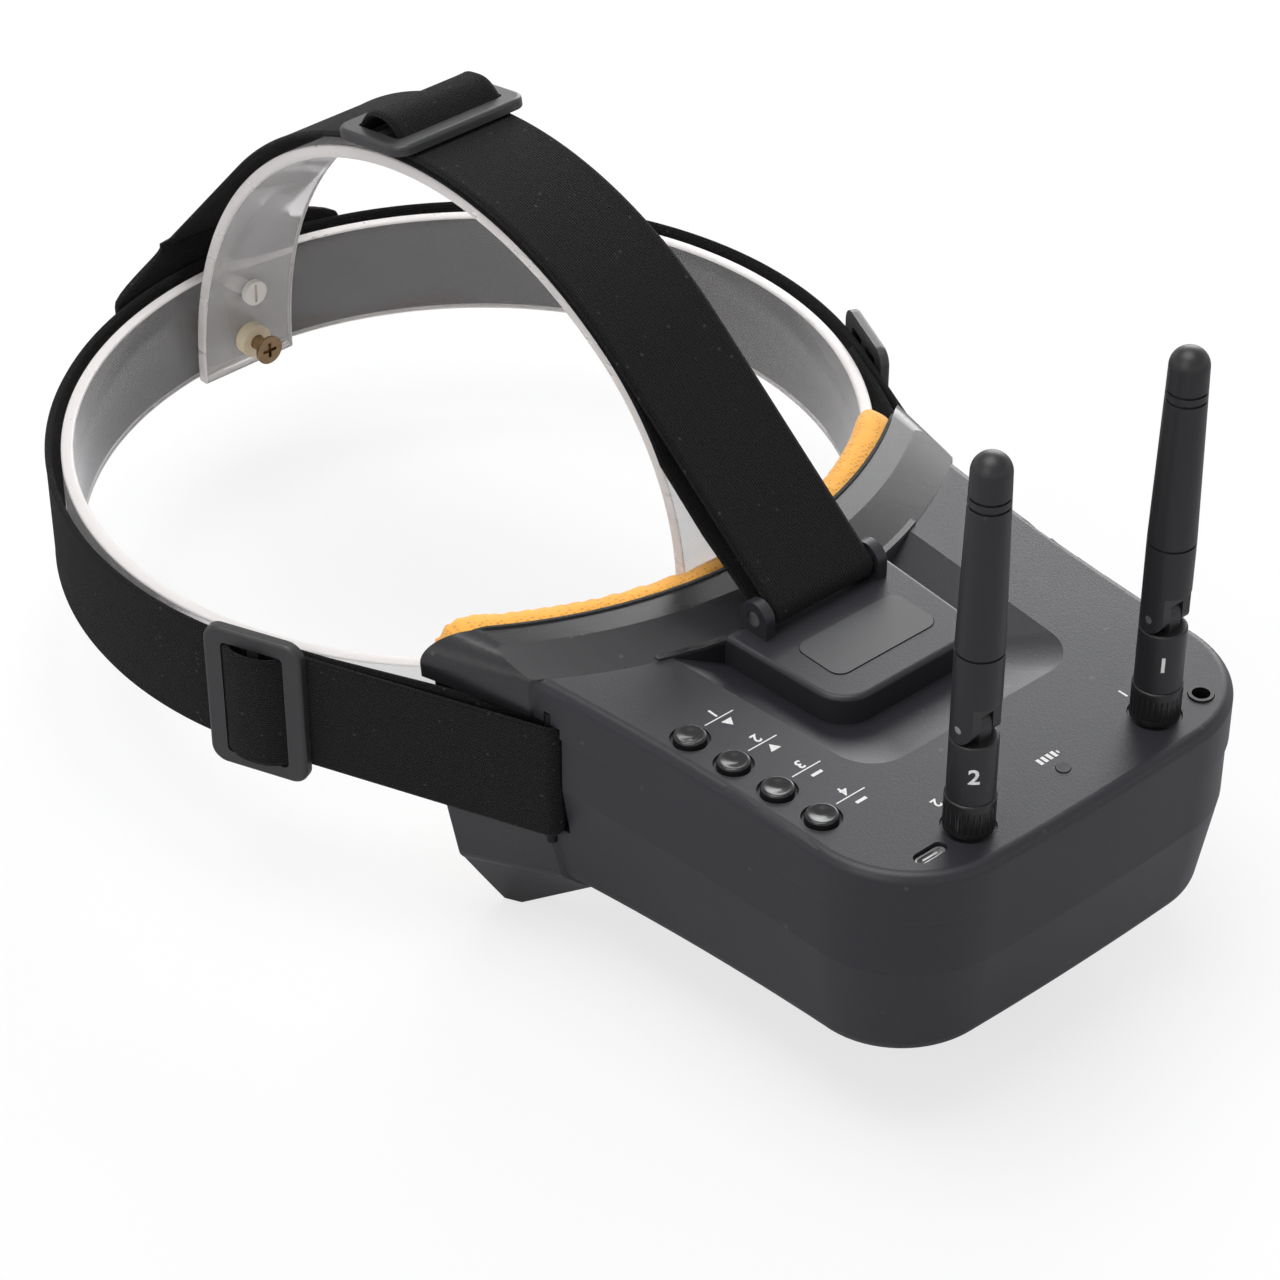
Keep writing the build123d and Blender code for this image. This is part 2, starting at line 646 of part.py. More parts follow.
def usb_socket():
    body = block((USB_POINT[0] - 3.9, USB_POINT[0] + 3.9), (USB_POINT[1] - 1.6, USB_POINT[1] + 1.6),
                 (INPUT_LOW, -2.3))
    mouth = extrude(Pos(USB_POINT[0], USB_POINT[1], -2.4) * SlotOverall(USB_LONG - 0.5, USB_DEEP - 0.6), 1.6)
    hollow = SlotOverall(USB_LONG - 1.3, USB_DEEP - 1.4)
    mouth = mouth - extrude(Pos(USB_POINT[0], USB_POINT[1], -2.0) * hollow, 3)
    tongue = block((USB_POINT[0] - 2.0, USB_POINT[0] + 2.0), (USB_POINT[1] - 0.25, USB_POINT[1] + 0.25),
                   (-2.4, -1.0))
    return body + mouth + tongue


def av_jack():
    x, y = JACK_POINT
    solid = rod(x, y, -2.4, 0.35, JACK_RING_R) + block((x - 3.0, x + 3.0), (y - 1.6, y + 4.0), (INPUT_LOW, -2.4))
    return solid - rod(x, y, INPUT_LOW + 0.8, 1, JACK_HOLE_R)


def status_light():
    return rod(0, 0, INPUT_LOW, 0.2, LED_R) + rod(0, 0, INPUT_LOW, -4.5, LED_R + 0.6)


def key_board():
    low_x = BUTTON_POINTS[3][0]
    corners = [(low_x - 5.0, 15.5), (low_x + 6.5, 15.5), (low_x + 4.5, LENS_Y - 3.0), (low_x - 7.2, LENS_Y - 3.0)]
    return prism(corners, KEY_LOW - BOARD, KEY_LOW)


def tact_switches():
    return [block((x - 2.6, x + 2.6), (y - 2.6, y + 2.6), (KEY_LOW, SWITCH_TOP - 0.5))
            + rod(x, y, KEY_LOW + 1, SWITCH_TOP, 1.6) for x, y in BUTTON_POINTS]


def button(index):
    x, y = BUTTON_POINTS[index]
    cap = rod(x, y, -WALL - 0.1, BUTTON_PROUD, BUTTON_R)
    cap = fillet(cap.faces().sort_by(Axis.Z)[-1].edges(), 1.0)
    flange = rod(x, y, -WALL - 0.9, -WALL - 0.1, BUTTON_R + 0.8)
    stem = rod(x, y, SWITCH_TOP + BUTTON_TRAVEL + 0.1, -WALL - 0.5, 1.3)
    return cap + flange + stem


def tube(points, radius, bend):
    """A round lead along straight runs joined by arcs."""
    path = FilletPolyline(*points, radius=bend)
    start = Plane(origin=path @ 0, z_dir=path % 0)
    return sweep(start * Circle(radius), path=path)


def antenna_lead(side):
    x = side * ANTENNA_X
    inner_x = side * 18
    points = [(x, 0, SOCKET_LOW - 0.1), (x, 0, SOCKET_LOW - 3.8), (inner_x, 0, -18.5),
              (inner_x, MAIN_Y - 2.7, -18.5)]
    return tube(points, 0.6, 1.6)


def battery_leads():
    leads = []
    for step in (0, 2.2):
        y = step - 2
        rise = -26 - step
        points = [(BATTERY_HALF + 0.1, y, -38), (35, y, -38), (35, y, rise), (35, MAIN_Y - 0.1, rise)]
        leads.append(tube(points, 0.6, 1.5))
    return leads


def display_ribbon():
    flat = block((-8, 8), (MAIN_Y + BOARD + 0.1, MAIN_Y + BOARD + 0.4), (-40, -24))
    return flat + block((-8, 8), (MAIN_Y + BOARD + 0.1, SCREEN_Y - 0.1), (-24.3, -24))


# ---------------------------------------------------------------- antennas
def antenna_socket(side):
    x = side * ANTENNA_X
    solid = rod(x, 0, -5.4, NUT_TOP - 2.0, SOCKET_R) + rod(x, 0, SOCKET_LOW, -2.3, SOCKET_R + 1.0)
    return solid - rod(x, 0, NUT_TOP - 5.0, NUT_TOP, 1.2)


def antenna_nut(side):
    """Knurled nut: a ring of shallow flutes round a plain bore."""
    x = side * ANTENNA_X
    solid = rod(x, 0, 0.5, NUT_TOP, NUT_R)
    solid = fillet(solid.faces().sort_by(Axis.Z)[-1].edges(), 0.4)
    count = 28
    for location in PolarLocations(NUT_R + 0.25, count):
        flute = Pos(x, 0, 4.1) * location * Cylinder(0.5, 5.4)
        solid = solid - flute
    return solid - rod(x, 0, 0, 20, SOCKET_R + SLIDE_FIT)


def antenna_base(side):
    """Lower barrel with a tongue that stands in the whip's slot."""
    x = side * ANTENNA_X
    barrel = rod(x, 0, NUT_TOP + 0.15, BASE_TOP, ANTENNA_R)
    barrel = fillet(barrel.faces().sort_by(Axis.Z)[-1].edges(), 0.5)
    neck = block((x - TONGUE_HALF, x + TONGUE_HALF), (-2.9, 2.9), (BASE_TOP - 1, PIN_Z))
    eye = rod_x(x - TONGUE_HALF, x + TONGUE_HALF, 0, PIN_Z, 2.9)
    return barrel + neck + eye - rod_x(x - 4, x + 4, 0, PIN_Z, PIN_R + SLIDE_FIT / 2)


def antenna_pin(side):
    x = side * ANTENNA_X
    return rod_x(x - ANTENNA_R + PIN_SHY, x + ANTENNA_R - PIN_SHY, 0, PIN_Z, PIN_R)


def whip(side):
    """Sleeve and tapered rubber whip, relieved so that it folds down to the front."""
    x = side * ANTENNA_X
    low = BASE_TOP + 0.25
    sleeve = rod(x, 0, low, SLEEVE_TOP, ANTENNA_R)
    taper_top = WHIP_TOP - WHIP_TIP_R
    cone = Pos(x, 0, (SLEEVE_TOP + taper_top) / 2) * Cone(ANTENNA_R, WHIP_TIP_R, taper_top - SLEEVE_TOP)
    tip = Pos(x, 0, taper_top) * Sphere(WHIP_TIP_R)
    solid = sleeve + cone + tip
    for z in (SLEEVE_TOP, 77.8, 79.8):
        groove = rod(x, 0, z - 0.3, z + 0.3, 8) - rod(x, 0, z - 1, z + 1, groove_radius(z) - 0.35)
        solid = solid - groove
    slot = block((x - TONGUE_HALF - 0.15, x + TONGUE_HALF + 0.15), (-8, 3.2), (low - 1, PIN_Z + 3.2))
    front = block((x - 8, x + 8), (-8, -3.05), (low - 1, PIN_Z + 5.9))
    knuckle = block((x - 8, x + 8), (-8, 0), (low - 1, PIN_Z)) - rod_x(x - 9, x + 9, 0, PIN_Z, 3.1)
    solid = solid - slot - front - knuckle
    return solid - rod_x(x - 9, x + 9, 0, PIN_Z, PIN_R)


def groove_radius(z):
    share = max(0.0, (z - SLEEVE_TOP) / (WHIP_TOP - WHIP_TIP_R - SLEEVE_TOP))
    return ANTENNA_R + (WHIP_TIP_R - ANTENNA_R) * share


# ---------------------------------------------------------------- side straps and ring
def polar(centre, radius, angle):
    return (centre[0] + radius * cos(radians(angle)), centre[1] + radius * sin(radians(angle)))


def sector_band(centre, radius, thick, start, end):
    """A flat band along an arc, from one angle to another, in degrees."""
    outer = radius + thick / 2
    inner = radius - thick / 2
    middle = (start + end) / 2
    edges = [ThreePointArc(polar(centre, outer, start), polar(centre, outer, middle), polar(centre, outer, end)),
             Line(polar(centre, outer, end), polar(centre, inner, end)),
             ThreePointArc(polar(centre, inner, end), polar(centre, inner, middle), polar(centre, inner, start)),
             Line(polar(centre, inner, start), polar(centre, outer, start))]
    return make_face(Curve() + edges)


def straight_band(start, end, thick):
    """A flat band between two points."""
    long = sqrt((end[0] - start[0]) ** 2 + (end[1] - start[1]) ** 2)
    middle = ((start[0] + end[0]) / 2, (start[1] + end[1]) / 2)
    turn = degrees(atan2(end[1] - start[1], end[0] - start[0]))
    return Pos(*middle) * Rot(0, 0, turn) * Rectangle(long, thick)


def strap_edges(side):
    """Where a side strap touches its post and the ring, and the angle of that touch."""
    start, normal, along, run = strap_frame(side)
    angle = degrees(atan2(normal[1], normal[0])) % 360
    end = (start[0] + along[0] * run, start[1] + along[1] * run)
    return (start[0], start[1]), end, angle


def side_strap(side):
    """From the stitched rear patch round the ring, straight to the post and round it."""
    start, end, angle = strap_edges(side)
    rear = 90.0 - side * 0.05
    touch = (angle + 180) % 360 - 180 if side > 0 else angle
    near = POST_R + FIT + STRAP_THICK / 2
    far = RING_R + STRAP_LIFT
    on_ring = sector_band((0, RING_Y), far, STRAP_THICK, min(touch, rear), max(touch, rear))
    on_post = sector_band((side * POST_X, POST_Y), near, STRAP_THICK, angle, angle + (-side) * 178)
    flat = on_ring + straight_band(start, end, STRAP_THICK) + on_post
    return extrude(Plane.XY.offset(STRAP_MID_Z - STRAP_WIDE / 2) * flat, STRAP_WIDE)


def side_return(side):
    """The layer that comes back from the post inside the strap and ends under the slider."""
    near = POST_R + FIT + STRAP_THICK / 2
    step = STRAP_THICK + LAYER_GAP
    reach = SLIDER_AT + SLIDER_LONG / 2
    half = STRAP_WIDE / 2
    start, normal, along, run = strap_frame(side)

    def at(x, y):
        return (start[0] + along[0] * x + normal[0] * y, start[1] + along[1] * x + normal[1] * y)

    meet = SLIDER_AT - 4.0
    flat = straight_band(at(0.1, -2 * near), at(meet, -step), STRAP_THICK)
    flat = flat + straight_band(at(meet - 0.2, -step), at(reach, -step), STRAP_THICK)
    return extrude(Plane.XY.offset(STRAP_MID_Z - half) * flat, STRAP_WIDE)


def clear_ring():
    low = STRAP_MID_Z - RING_WIDE / 2
    ring = rod(0, RING_Y, low, low + RING_WIDE, RING_R) - rod(0, RING_Y, low - 1, low + RING_WIDE + 1,
                                                             RING_R - RING_THICK)
    for x, z, radius in REAR_HOLES:
        ring = ring - rod_y(x, RING_Y, RING_Y + 120, z, radius)
    return ring - rod_y(0, 60, RING_Y, RIVET_Z, RIVET_R)


# ---------------------------------------------------------------- crown arch and strap
def across(face, half):
    """Turn a face drawn as (y, z) into a solid that is centred on x = 0."""
    return extrude(Plane.YZ.offset(-half) * face, 2 * half)


def arch_side(inset):
    """Side view of everything inside the arch's outer face."""
    rise = sqrt(ARCH_R ** 2 - (ARCH_CENTRE[0] - ARCH_FRONT_Y) ** 2)
    front = (ARCH_FRONT_Y, ARCH_CENTRE[1] + rise)
    top = (ARCH_CENTRE[0], ARCH_CENTRE[1] + ARCH_R)
    rear = (ARCH_REAR_Y, ARCH_CENTRE[1])
    edges = [Line((ARCH_FRONT_Y, ARCH_LOW), front), ThreePointArc(front, top, rear),
             Line(rear, (ARCH_REAR_Y, ARCH_LOW)), Line((ARCH_REAR_Y, ARCH_LOW), (ARCH_FRONT_Y, ARCH_LOW))]
    face = make_face(Curve() + edges)
    corner = face.vertices().sort_by_distance((*front, 0))[0]
    face = fillet(corner, ARCH_CORNER)
    return offset(face, -inset, kind=Kind.INTERSECTION) if inset else face


def clear_arch():
    solid = across(arch_side(0), ARCH_WIDE / 2)
    hollow = across(arch_side(ARCH_THICK), ARCH_WIDE)
    hollow = hollow + block((-50, 50), (ARCH_FRONT_Y + ARCH_THICK, ARCH_REAR_Y - ARCH_THICK), (-60, -30))
    solid = solid - hollow
    for x, z, radius in REAR_HOLES:
        solid = solid - rod_y(x, RING_Y, RING_Y + 120, z, radius)
    return solid - rod_y(0, 60, RING_Y, RIVET_Z, RIVET_R)


def crown_path():
    """Touch points of the crown strap: anchor bar, arch front, arch rear, and patch."""
    bar = (EAR_Y, EAR_Z)
    small = ANCHOR_R + FIT + STRAP_THICK / 2
    big = ARCH_R + STRAP_LIFT
    away = sqrt((ARCH_CENTRE[0] - bar[0]) ** 2 + (ARCH_CENTRE[1] - bar[1]) ** 2)
    line = degrees(atan2(ARCH_CENTRE[1] - bar[1], ARCH_CENTRE[0] - bar[0]))
    lift = line + degrees(atan2(big - small, sqrt(away ** 2 - (big - small) ** 2)))
    seat = (RING_Y + PATCH_R + 1.0, PATCH_TOP)
    reach = sqrt((seat[0] - ARCH_CENTRE[0]) ** 2 + (seat[1] - ARCH_CENTRE[1]) ** 2)
    leave = degrees(atan2(seat[1] - ARCH_CENTRE[1], seat[0] - ARCH_CENTRE[0]))
    leave = leave + degrees(atan2(sqrt(reach ** 2 - big ** 2), big))
    return bar, small, big, lift, leave, seat


def crown_strap():
    bar, small, big, lift, leave, seat = crown_path()
    flat = sector_band(bar, small, STRAP_THICK, lift + 90, lift + 268)
    flat = flat + straight_band(polar(bar, small, lift + 90), polar(ARCH_CENTRE, big, lift + 90), STRAP_THICK)
    flat = flat + sector_band(ARCH_CENTRE, big, STRAP_THICK, leave, lift + 90)
    rear = polar(ARCH_CENTRE, big, leave)
    flat = flat + straight_band(rear, seat, STRAP_THICK)
    solid = across(flat, STRAP_WIDE / 2)
    return solid - block((-60, 60), (260, 330), (-60, PATCH_TOP + 0.05))


def crown_return():
    """The slack layer from the anchor bar back up between the crown strap and the arch."""
    bar, small, _, lift, _, _ = crown_path()
    reach = ARCH_R - ARCH_CORNER
    across_y = ARCH_FRONT_Y + ARCH_CORNER - ARCH_CENTRE[0]
    bend = (ARCH_CENTRE[0] + across_y, ARCH_CENTRE[1] + sqrt(reach ** 2 - across_y ** 2))
    change = degrees(atan2(bend[1] - ARCH_CENTRE[1], across_y))
    points = [polar(bar, small, lift - 92), RETURN_SLACK, polar(bend, ARCH_CORNER + RETURN_LIFT, RETURN_LEAVE)]
    flat = sector_band(ARCH_CENTRE, ARCH_R + RETURN_LIFT, STRAP_THICK, 90 - CROWN_SLIDER_ANGLE, change)
    flat = flat + sector_band(bend, ARCH_CORNER + RETURN_LIFT, STRAP_THICK, change, RETURN_LEAVE)
    for first, second in zip(points, points[1:]):
        flat = flat + straight_band(first, second, STRAP_THICK) + Pos(*second) * Circle(STRAP_THICK / 2)
    return across(flat, STRAP_WIDE / 2 - 0.3)


def rear_patch():
    start = 90 - PATCH_SPREAD
    end = 90 + PATCH_SPREAD
    flat = sector_band((0, RING_Y), PATCH_R + PATCH_THICK / 2, PATCH_THICK, start, end)
    low = STRAP_MID_Z - STRAP_WIDE / 2 - 0.5
    solid = extrude(Plane.XY.offset(low) * flat, PATCH_TOP - low)
    return solid


def anchor_bar():
    half = EAR_INNER + EAR_THICK - 0.4
    return rod_x(-half, half, EAR_Y, EAR_Z, ANCHOR_R)


def strap_posts():
    return post_rods(POST_R, 0)


# ---------------------------------------------------------------- sliders
def slider_frame():
    """Frame with two windows: x along the strap, y outwards, z across."""
    low = STRAP_THICK / 2 + BAR_LIFT
    high = low + SLIDER_THICK
    outline = Rot(90, 0, 0) * RectangleRounded(SLIDER_LONG, SLIDER_WIDE, 4.0)
    solid = extrude(Pos(0, high, 0) * outline, SLIDER_THICK)
    opening = block((-SLIDER_LONG / 2 + SLIDER_BAR, SLIDER_LONG / 2 - SLIDER_BAR), (-5, 9),
                    (-STRAP_WIDE / 2 - 0.4, STRAP_WIDE / 2 + 0.4))
    solid = fillet(solid.faces().sort_by(Axis.Y)[-1].edges(), 0.9)
    solid = solid - fillet(opening.edges().filter_by(Axis.Y), 1.2)
    centre = block((-1.3, 1.3), (low, high - 0.6), (-STRAP_WIDE / 2 - 1, STRAP_WIDE / 2 + 1))
    return solid + centre


def slider_hump():
    """The strap's hump over the slider's centre bar."""
    low = STRAP_THICK / 2 + BAR_LIFT
    half = SLIDER_LONG / 2 - SLIDER_BAR - 0.3
    top = low + SLIDER_THICK - 0.6 + 0.3
    outer = [(-half, low), (-3.6, top + STRAP_THICK - 0.3), (-1.2, top + STRAP_THICK), (1.2, top + STRAP_THICK),
             (3.6, top + STRAP_THICK - 0.3), (half, low)]
    inner = [(half - 2.0, low), (1.8, top), (-1.8, top), (-half + 2.0, low)]
    face = make_face(Polyline(*outer, *inner, close=True))
    return extrude(Plane.XY.offset(-STRAP_WIDE / 2 + 0.1) * face, STRAP_WIDE - 0.2)


def on_side_strap(solid, side):
    start, normal, along, run = strap_frame(side)
    middle = SLIDER_AT + SLIDER_LONG / 2
    place = Plane(origin=(start[0] + along[0] * middle, start[1] + along[1] * middle, STRAP_MID_Z),
                  x_dir=(along[0], along[1], 0), z_dir=(0, 0, -side))
    return place * solid


def on_crown(solid):
    radius = ARCH_R + STRAP_LIFT
    turn = radians(CROWN_SLIDER_ANGLE)
    origin = (0, ARCH_CENTRE[0] + radius * sin(turn), ARCH_CENTRE[1] + radius * cos(turn))
    return Plane(origin=origin, x_dir=(0, cos(turn), -sin(turn)), z_dir=(1, 0, 0)) * solid


def plate_seat(z):
    """How far back the arch's inner face is at a height: the lower plate is straight."""
    rise = max(0.0, z - ARCH_CENTRE[1])
    return ARCH_CENTRE[0] + sqrt((ARCH_R - ARCH_THICK) ** 2 - rise ** 2)


def rear_screw():
    x, z = SCREW_AT
    head_y = plate_seat(z) - 6.5
    head = rod_y(x, head_y - 2.2, head_y, z, 3.7)
    head = chamfer(head.faces().sort_by(Axis.Y)[-1].edges(), 1.5)
    solid = head + rod_y(x, head_y - 0.5, RING_Y + RING_R - 0.2, z, REAR_SCREW_R)
    cross = block((x - 0.45, x + 0.45), (head_y - 2.3, head_y - 1.0), (z - 2.0, z + 2.0))
    return solid - cross - block((x - 2.0, x + 2.0), (head_y - 2.3, head_y - 1.0), (z - 0.45, z + 0.45))


def screw_washer():
    x, z = SCREW_AT
    y1 = plate_seat(z + WASHER_R)
    return rod_y(x, y1 - 3.2, y1, z, WASHER_R) - rod_y(x, y1 - 5, y1 + 1, z, REAR_SCREW_R + FIT)


def rear_peg():
    x, z = PEG_AT
    y1 = plate_seat(z + PEG_HEAD_R)
    solid = rod_y(x, y1 - 1.6, y1, z, PEG_HEAD_R) + rod_y(x, y1 - 0.5, RING_Y + RING_R - 0.2, z, PEG_R)
    return solid - block((x - 0.4, x + 0.4), (y1 - 1.7, y1 - 0.8), (z - 2.4, z + 2.4))


def front_rivet():
    front = RING_Y - RING_R
    inner = ARCH_FRONT_Y + ARCH_THICK
    solid = rod_y(0, front - 0.8, front, RIVET_Z, 2.6) + rod_y(0, front, inner, RIVET_Z, RIVET_R - 0.05)
    return solid + rod_y(0, inner, inner + 0.8, RIVET_Z, 2.6)


# ---------------------------------------------------------------- writing the parts
def label_plate():
    low = BLOCK_TOP - LABEL_THICK + LABEL_PROUD
    return extrude(Plane.XY.offset(low) * label_outline(0), LABEL_THICK)


def all_pieces():
    pieces = {
        "top_shell": top_shell(),
        "bottom_shell": bottom_shell(),
        "casing_screws": casing_screws(),
        "label_plate": label_plate(),
        "face_frame": face_frame(),
        "foam_backing": foam_backing(),
        "face_foam": face_foam(),
        "foam_cover": foam_cover(),
        "anchor_bar": anchor_bar(),
        "strap_posts": strap_posts(),
        "lens": lens(),
        "lens_frame": lens_frame(),
        "light_tunnel": light_tunnel(),
        "display_panel": display_panel(),
        "display_holder": display_holder(),
        "display_ribbon": display_ribbon(),
        "main_board": main_board(),
        "board_screws": board_screws(),
        "receiver_shields": receiver_shields(),
        "battery": battery(),
        "battery_leads": battery_leads(),
        "input_board": input_board(),
        "usb_socket": usb_socket(),
        "av_jack": av_jack(),
        "status_light": status_light(),
        "key_board": key_board(),
        "tact_switches": tact_switches(),
        "clear_ring": clear_ring(),
        "clear_arch": clear_arch(),
        "rear_screw": rear_screw(),
        "screw_washer": screw_washer(),
        "rear_peg": rear_peg(),
        "front_rivet": front_rivet(),
        "antenna_sockets": [antenna_socket(side) for side in (-1, 1)],
        "antenna_leads": [antenna_lead(side) for side in (-1, 1)],
        "crown_strap": crown_strap(),
        "crown_return": crown_return(),
        "rear_patch": rear_patch(),
        "slider_crown": on_crown(slider_frame()),
        "strap_hump_crown": on_crown(slider_hump()),
    }
    for index in range(len(BUTTON_POINTS)):
        pieces[f"button_{index + 1}"] = button(index)
    for name, side in (("right", -1), ("left", 1)):
        pieces[f"antenna_nut_{name}"] = antenna_nut(side)
        pieces[f"antenna_base_{name}"] = antenna_base(side)
        pieces[f"antenna_pin_{name}"] = antenna_pin(side)
        pieces[f"antenna_whip_{name}"] = whip(side)
        pieces[f"side_strap_{name}"] = side_strap(side)
        pieces[f"side_return_{name}"] = side_return(side)
        pieces[f"slider_{name}"] = on_side_strap(slider_frame(), side)
        pieces[f"strap_hump_{name}"] = on_side_strap(slider_hump(), side)
    return pieces


PART_FRONT = CASE_CORNER_Y - CASE_CORNER_R - CASE_FRONT_BOW
PART_REAR = RING_Y + PATCH_R + PATCH_THICK
ROW_SHIFT = (0, -(PART_FRONT + PART_REAR) / 2, TOP_HEIGHT)


def write_parts():
    os.makedirs("parts", exist_ok=True)
    for name, solid in all_pieces().items():
        solids = solid if isinstance(solid, list) else solid.solids()
        moved = [Pos(*ROW_SHIFT) * one for one in solids]
        export_step(moved[0] if len(moved) == 1 else Compound(children=moved), f"parts/{name}.step")


write_parts()
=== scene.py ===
# %% [markdown]
# # Video goggles: from a imported CAD frame to a finished look
# The CAD model settles every size and every joint. This script adds what the eye sees: the
# finish of each moulding, knitted straps, a soft foam pad, clear plastic with milky edges,
# and small printed marks. It is a lesson in cells, and each cell builds one piece or finish.
#
# The first cell loads the imported model. Each CAD node arrives as one mesh at its real place, in metres.

# %% Load the frame
import json
import math

import bmesh
import bpy
import numpy as np
from mathutils import Matrix, Vector


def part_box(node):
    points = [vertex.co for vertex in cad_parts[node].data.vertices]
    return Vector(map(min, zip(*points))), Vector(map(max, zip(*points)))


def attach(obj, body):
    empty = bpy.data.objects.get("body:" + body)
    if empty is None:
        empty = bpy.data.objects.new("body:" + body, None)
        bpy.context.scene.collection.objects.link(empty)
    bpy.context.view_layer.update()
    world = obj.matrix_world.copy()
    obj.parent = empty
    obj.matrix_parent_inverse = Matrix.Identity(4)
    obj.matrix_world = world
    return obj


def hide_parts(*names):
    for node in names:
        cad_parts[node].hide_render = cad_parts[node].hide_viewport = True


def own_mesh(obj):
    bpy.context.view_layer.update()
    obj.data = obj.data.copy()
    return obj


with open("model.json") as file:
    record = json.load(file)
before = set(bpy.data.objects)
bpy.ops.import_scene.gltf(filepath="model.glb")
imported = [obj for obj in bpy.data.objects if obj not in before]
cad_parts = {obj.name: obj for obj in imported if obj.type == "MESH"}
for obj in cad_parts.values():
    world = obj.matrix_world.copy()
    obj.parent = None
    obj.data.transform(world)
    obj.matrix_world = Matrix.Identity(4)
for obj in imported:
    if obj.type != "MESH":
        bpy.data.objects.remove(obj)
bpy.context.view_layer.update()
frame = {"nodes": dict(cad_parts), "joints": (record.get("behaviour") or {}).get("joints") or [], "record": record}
nodes = frame["nodes"]
MM = 0.001
print("CAD nodes:", len(nodes))

# %% Small helpers for objects


def fit(piece, body, slot, *stands_for):
    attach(piece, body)
    if stands_for:
        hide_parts(*stands_for)


def middle_of(node):
    low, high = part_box(node)
    return (low + high) / 2


def new_object(name, data):
    """An object that holds a mesh, a lamp or a camera, linked to the scene."""
    made = bpy.data.objects.new(name, data)
    bpy.context.scene.collection.objects.link(made)
    return made


def close_shape(shape, name, *materials):
    """Turns a finished bmesh into a new mesh with its materials."""
    mesh = bpy.data.meshes.new(name)
    bmesh.ops.recalc_face_normals(shape, faces=shape.faces)
    shape.to_mesh(mesh)
    shape.free()
    for material in materials:
        mesh.materials.append(material)
    return mesh


# %% [markdown]
# ## Camera and room
# A long lens flattens the view as a product picture does. The camera looks down on the
# goggles from the front right. The floor and the world show as white to the camera and
# through clear plastic, and only partly in reflections, so that black mouldings stay black.

# %% Camera
AIM = Vector((-0.0575, -0.0752, 0.0975))
AZIMUTH = math.radians(-41.38)
ELEVATION = math.radians(37.08)
DISTANCE = 0.78
FOCAL_LENGTH = 110.0


def towards_camera():
    flat = math.cos(ELEVATION)
    return Vector((math.sin(AZIMUTH) * flat, -math.cos(AZIMUTH) * flat, math.sin(ELEVATION)))


def add_camera():
    camera = new_object("camera", bpy.data.cameras.new("camera"))
    camera.data.lens = FOCAL_LENGTH
    camera.data.sensor_width = 36.0
    camera.location = AIM + towards_camera() * DISTANCE
    camera.rotation_euler = towards_camera().to_track_quat("Z", "Y").to_euler()
    bpy.context.scene.camera = camera
    bpy.context.scene.view_settings.view_transform = "Standard"


add_camera()

# %% Small helpers for node trees


def feed(tree, node, sockets):
    """Gives sockets, by name or number, a plain value or a wire from another socket."""
    for place, value in sockets.items():
        if isinstance(value, bpy.types.NodeSocket):
            tree.links.new(value, node.inputs[place])
        else:
            node.inputs[place].default_value = value


def shader(tree, kind, sockets=None, **fields):
    """Adds a shader node, sets its fields and then feeds its sockets."""
    made = tree.nodes.new(kind)
    for name, value in fields.items():
        setattr(made, name, value)
    feed(tree, made, sockets or {})
    return made


def maths(tree, operation, *values):
    """The result of a maths node, from sockets or plain numbers."""
    return shader(tree, "ShaderNodeMath", dict(enumerate(values)), operation=operation).outputs[0]


def times(tree, first, second):
    return maths(tree, "MULTIPLY", first, second)


def spread(tree, value, low, high, new_low, new_high, **fields):
    """Maps a value from one range to another and holds it there."""
    sockets = {"Value": value, "From Min": low, "From Max": high,
               "To Min": new_low, "To Max": new_high}
    return shader(tree, "ShaderNodeMapRange", sockets, **fields).outputs["Result"]


def mixed_colour(tree, factor, first, second):
    """A mix of two colours. The node keeps its colour sockets after those for numbers."""
    sockets = {"Factor": factor, 6: first, 7: second}
    return shader(tree, "ShaderNodeMix", sockets, data_type="RGBA").outputs[2]


def here(tree):
    """The object's own coordinates."""
    return shader(tree, "ShaderNodeTexCoord").outputs["Object"]


def noise(tree, scale, detail, roughness=0.5, place=None):
    """The value of a noise texture, in object space unless another place is given."""
    sockets = {"Vector": place or here(tree), "Scale": scale, "Detail": detail, "Roughness": roughness}
    return shader(tree, "ShaderNodeTexNoise", sockets).outputs["Fac"]


def cells(tree, scale, randomness=1.0):
    """The outputs of a Voronoi texture in object space."""
    sockets = {"Vector": here(tree), "Scale": scale, "Randomness": randomness}
    return shader(tree, "ShaderNodeTexVoronoi", sockets).outputs


def spaced(values):
    """Keyword names turned into socket names."""
    return {name.replace("_", " "): value for name, value in values.items()}


# %% World, floor and lamps
WHITE = (1.0, 1.0, 1.0, 1.0)
CEILING = 0.16
FLOOR_HALF = 3.0
FLOOR_SHARE = 0.72
PAPER = (0.86, 0.86, 0.86, 1)
PAPER_IN_GLOSS = (0.42, 0.41, 0.43, 1)


def background_rays(tree, gloss):
    """How much a ray should see the white background: camera and glass rays fully, gloss partly."""
    path = shader(tree, "ShaderNodeLightPath").outputs
    direct = maths(tree, "MAXIMUM", path["Is Camera Ray"], path["Is Transmission Ray"])
    return maths(tree, "MAXIMUM", direct, times(tree, path["Is Glossy Ray"], gloss))


def horizon(tree):
    """1 near the horizon and less overhead, as in a studio with a lit wall and a dark ceiling."""
    place = shader(tree, "ShaderNodeTexCoord").outputs["Generated"]
    height = shader(tree, "ShaderNodeSeparateXYZ", {0: place}).outputs["Z"]
    return spread(tree, height, 0.12, 0.5, 1.0, CEILING, interpolation_type="SMOOTHSTEP")


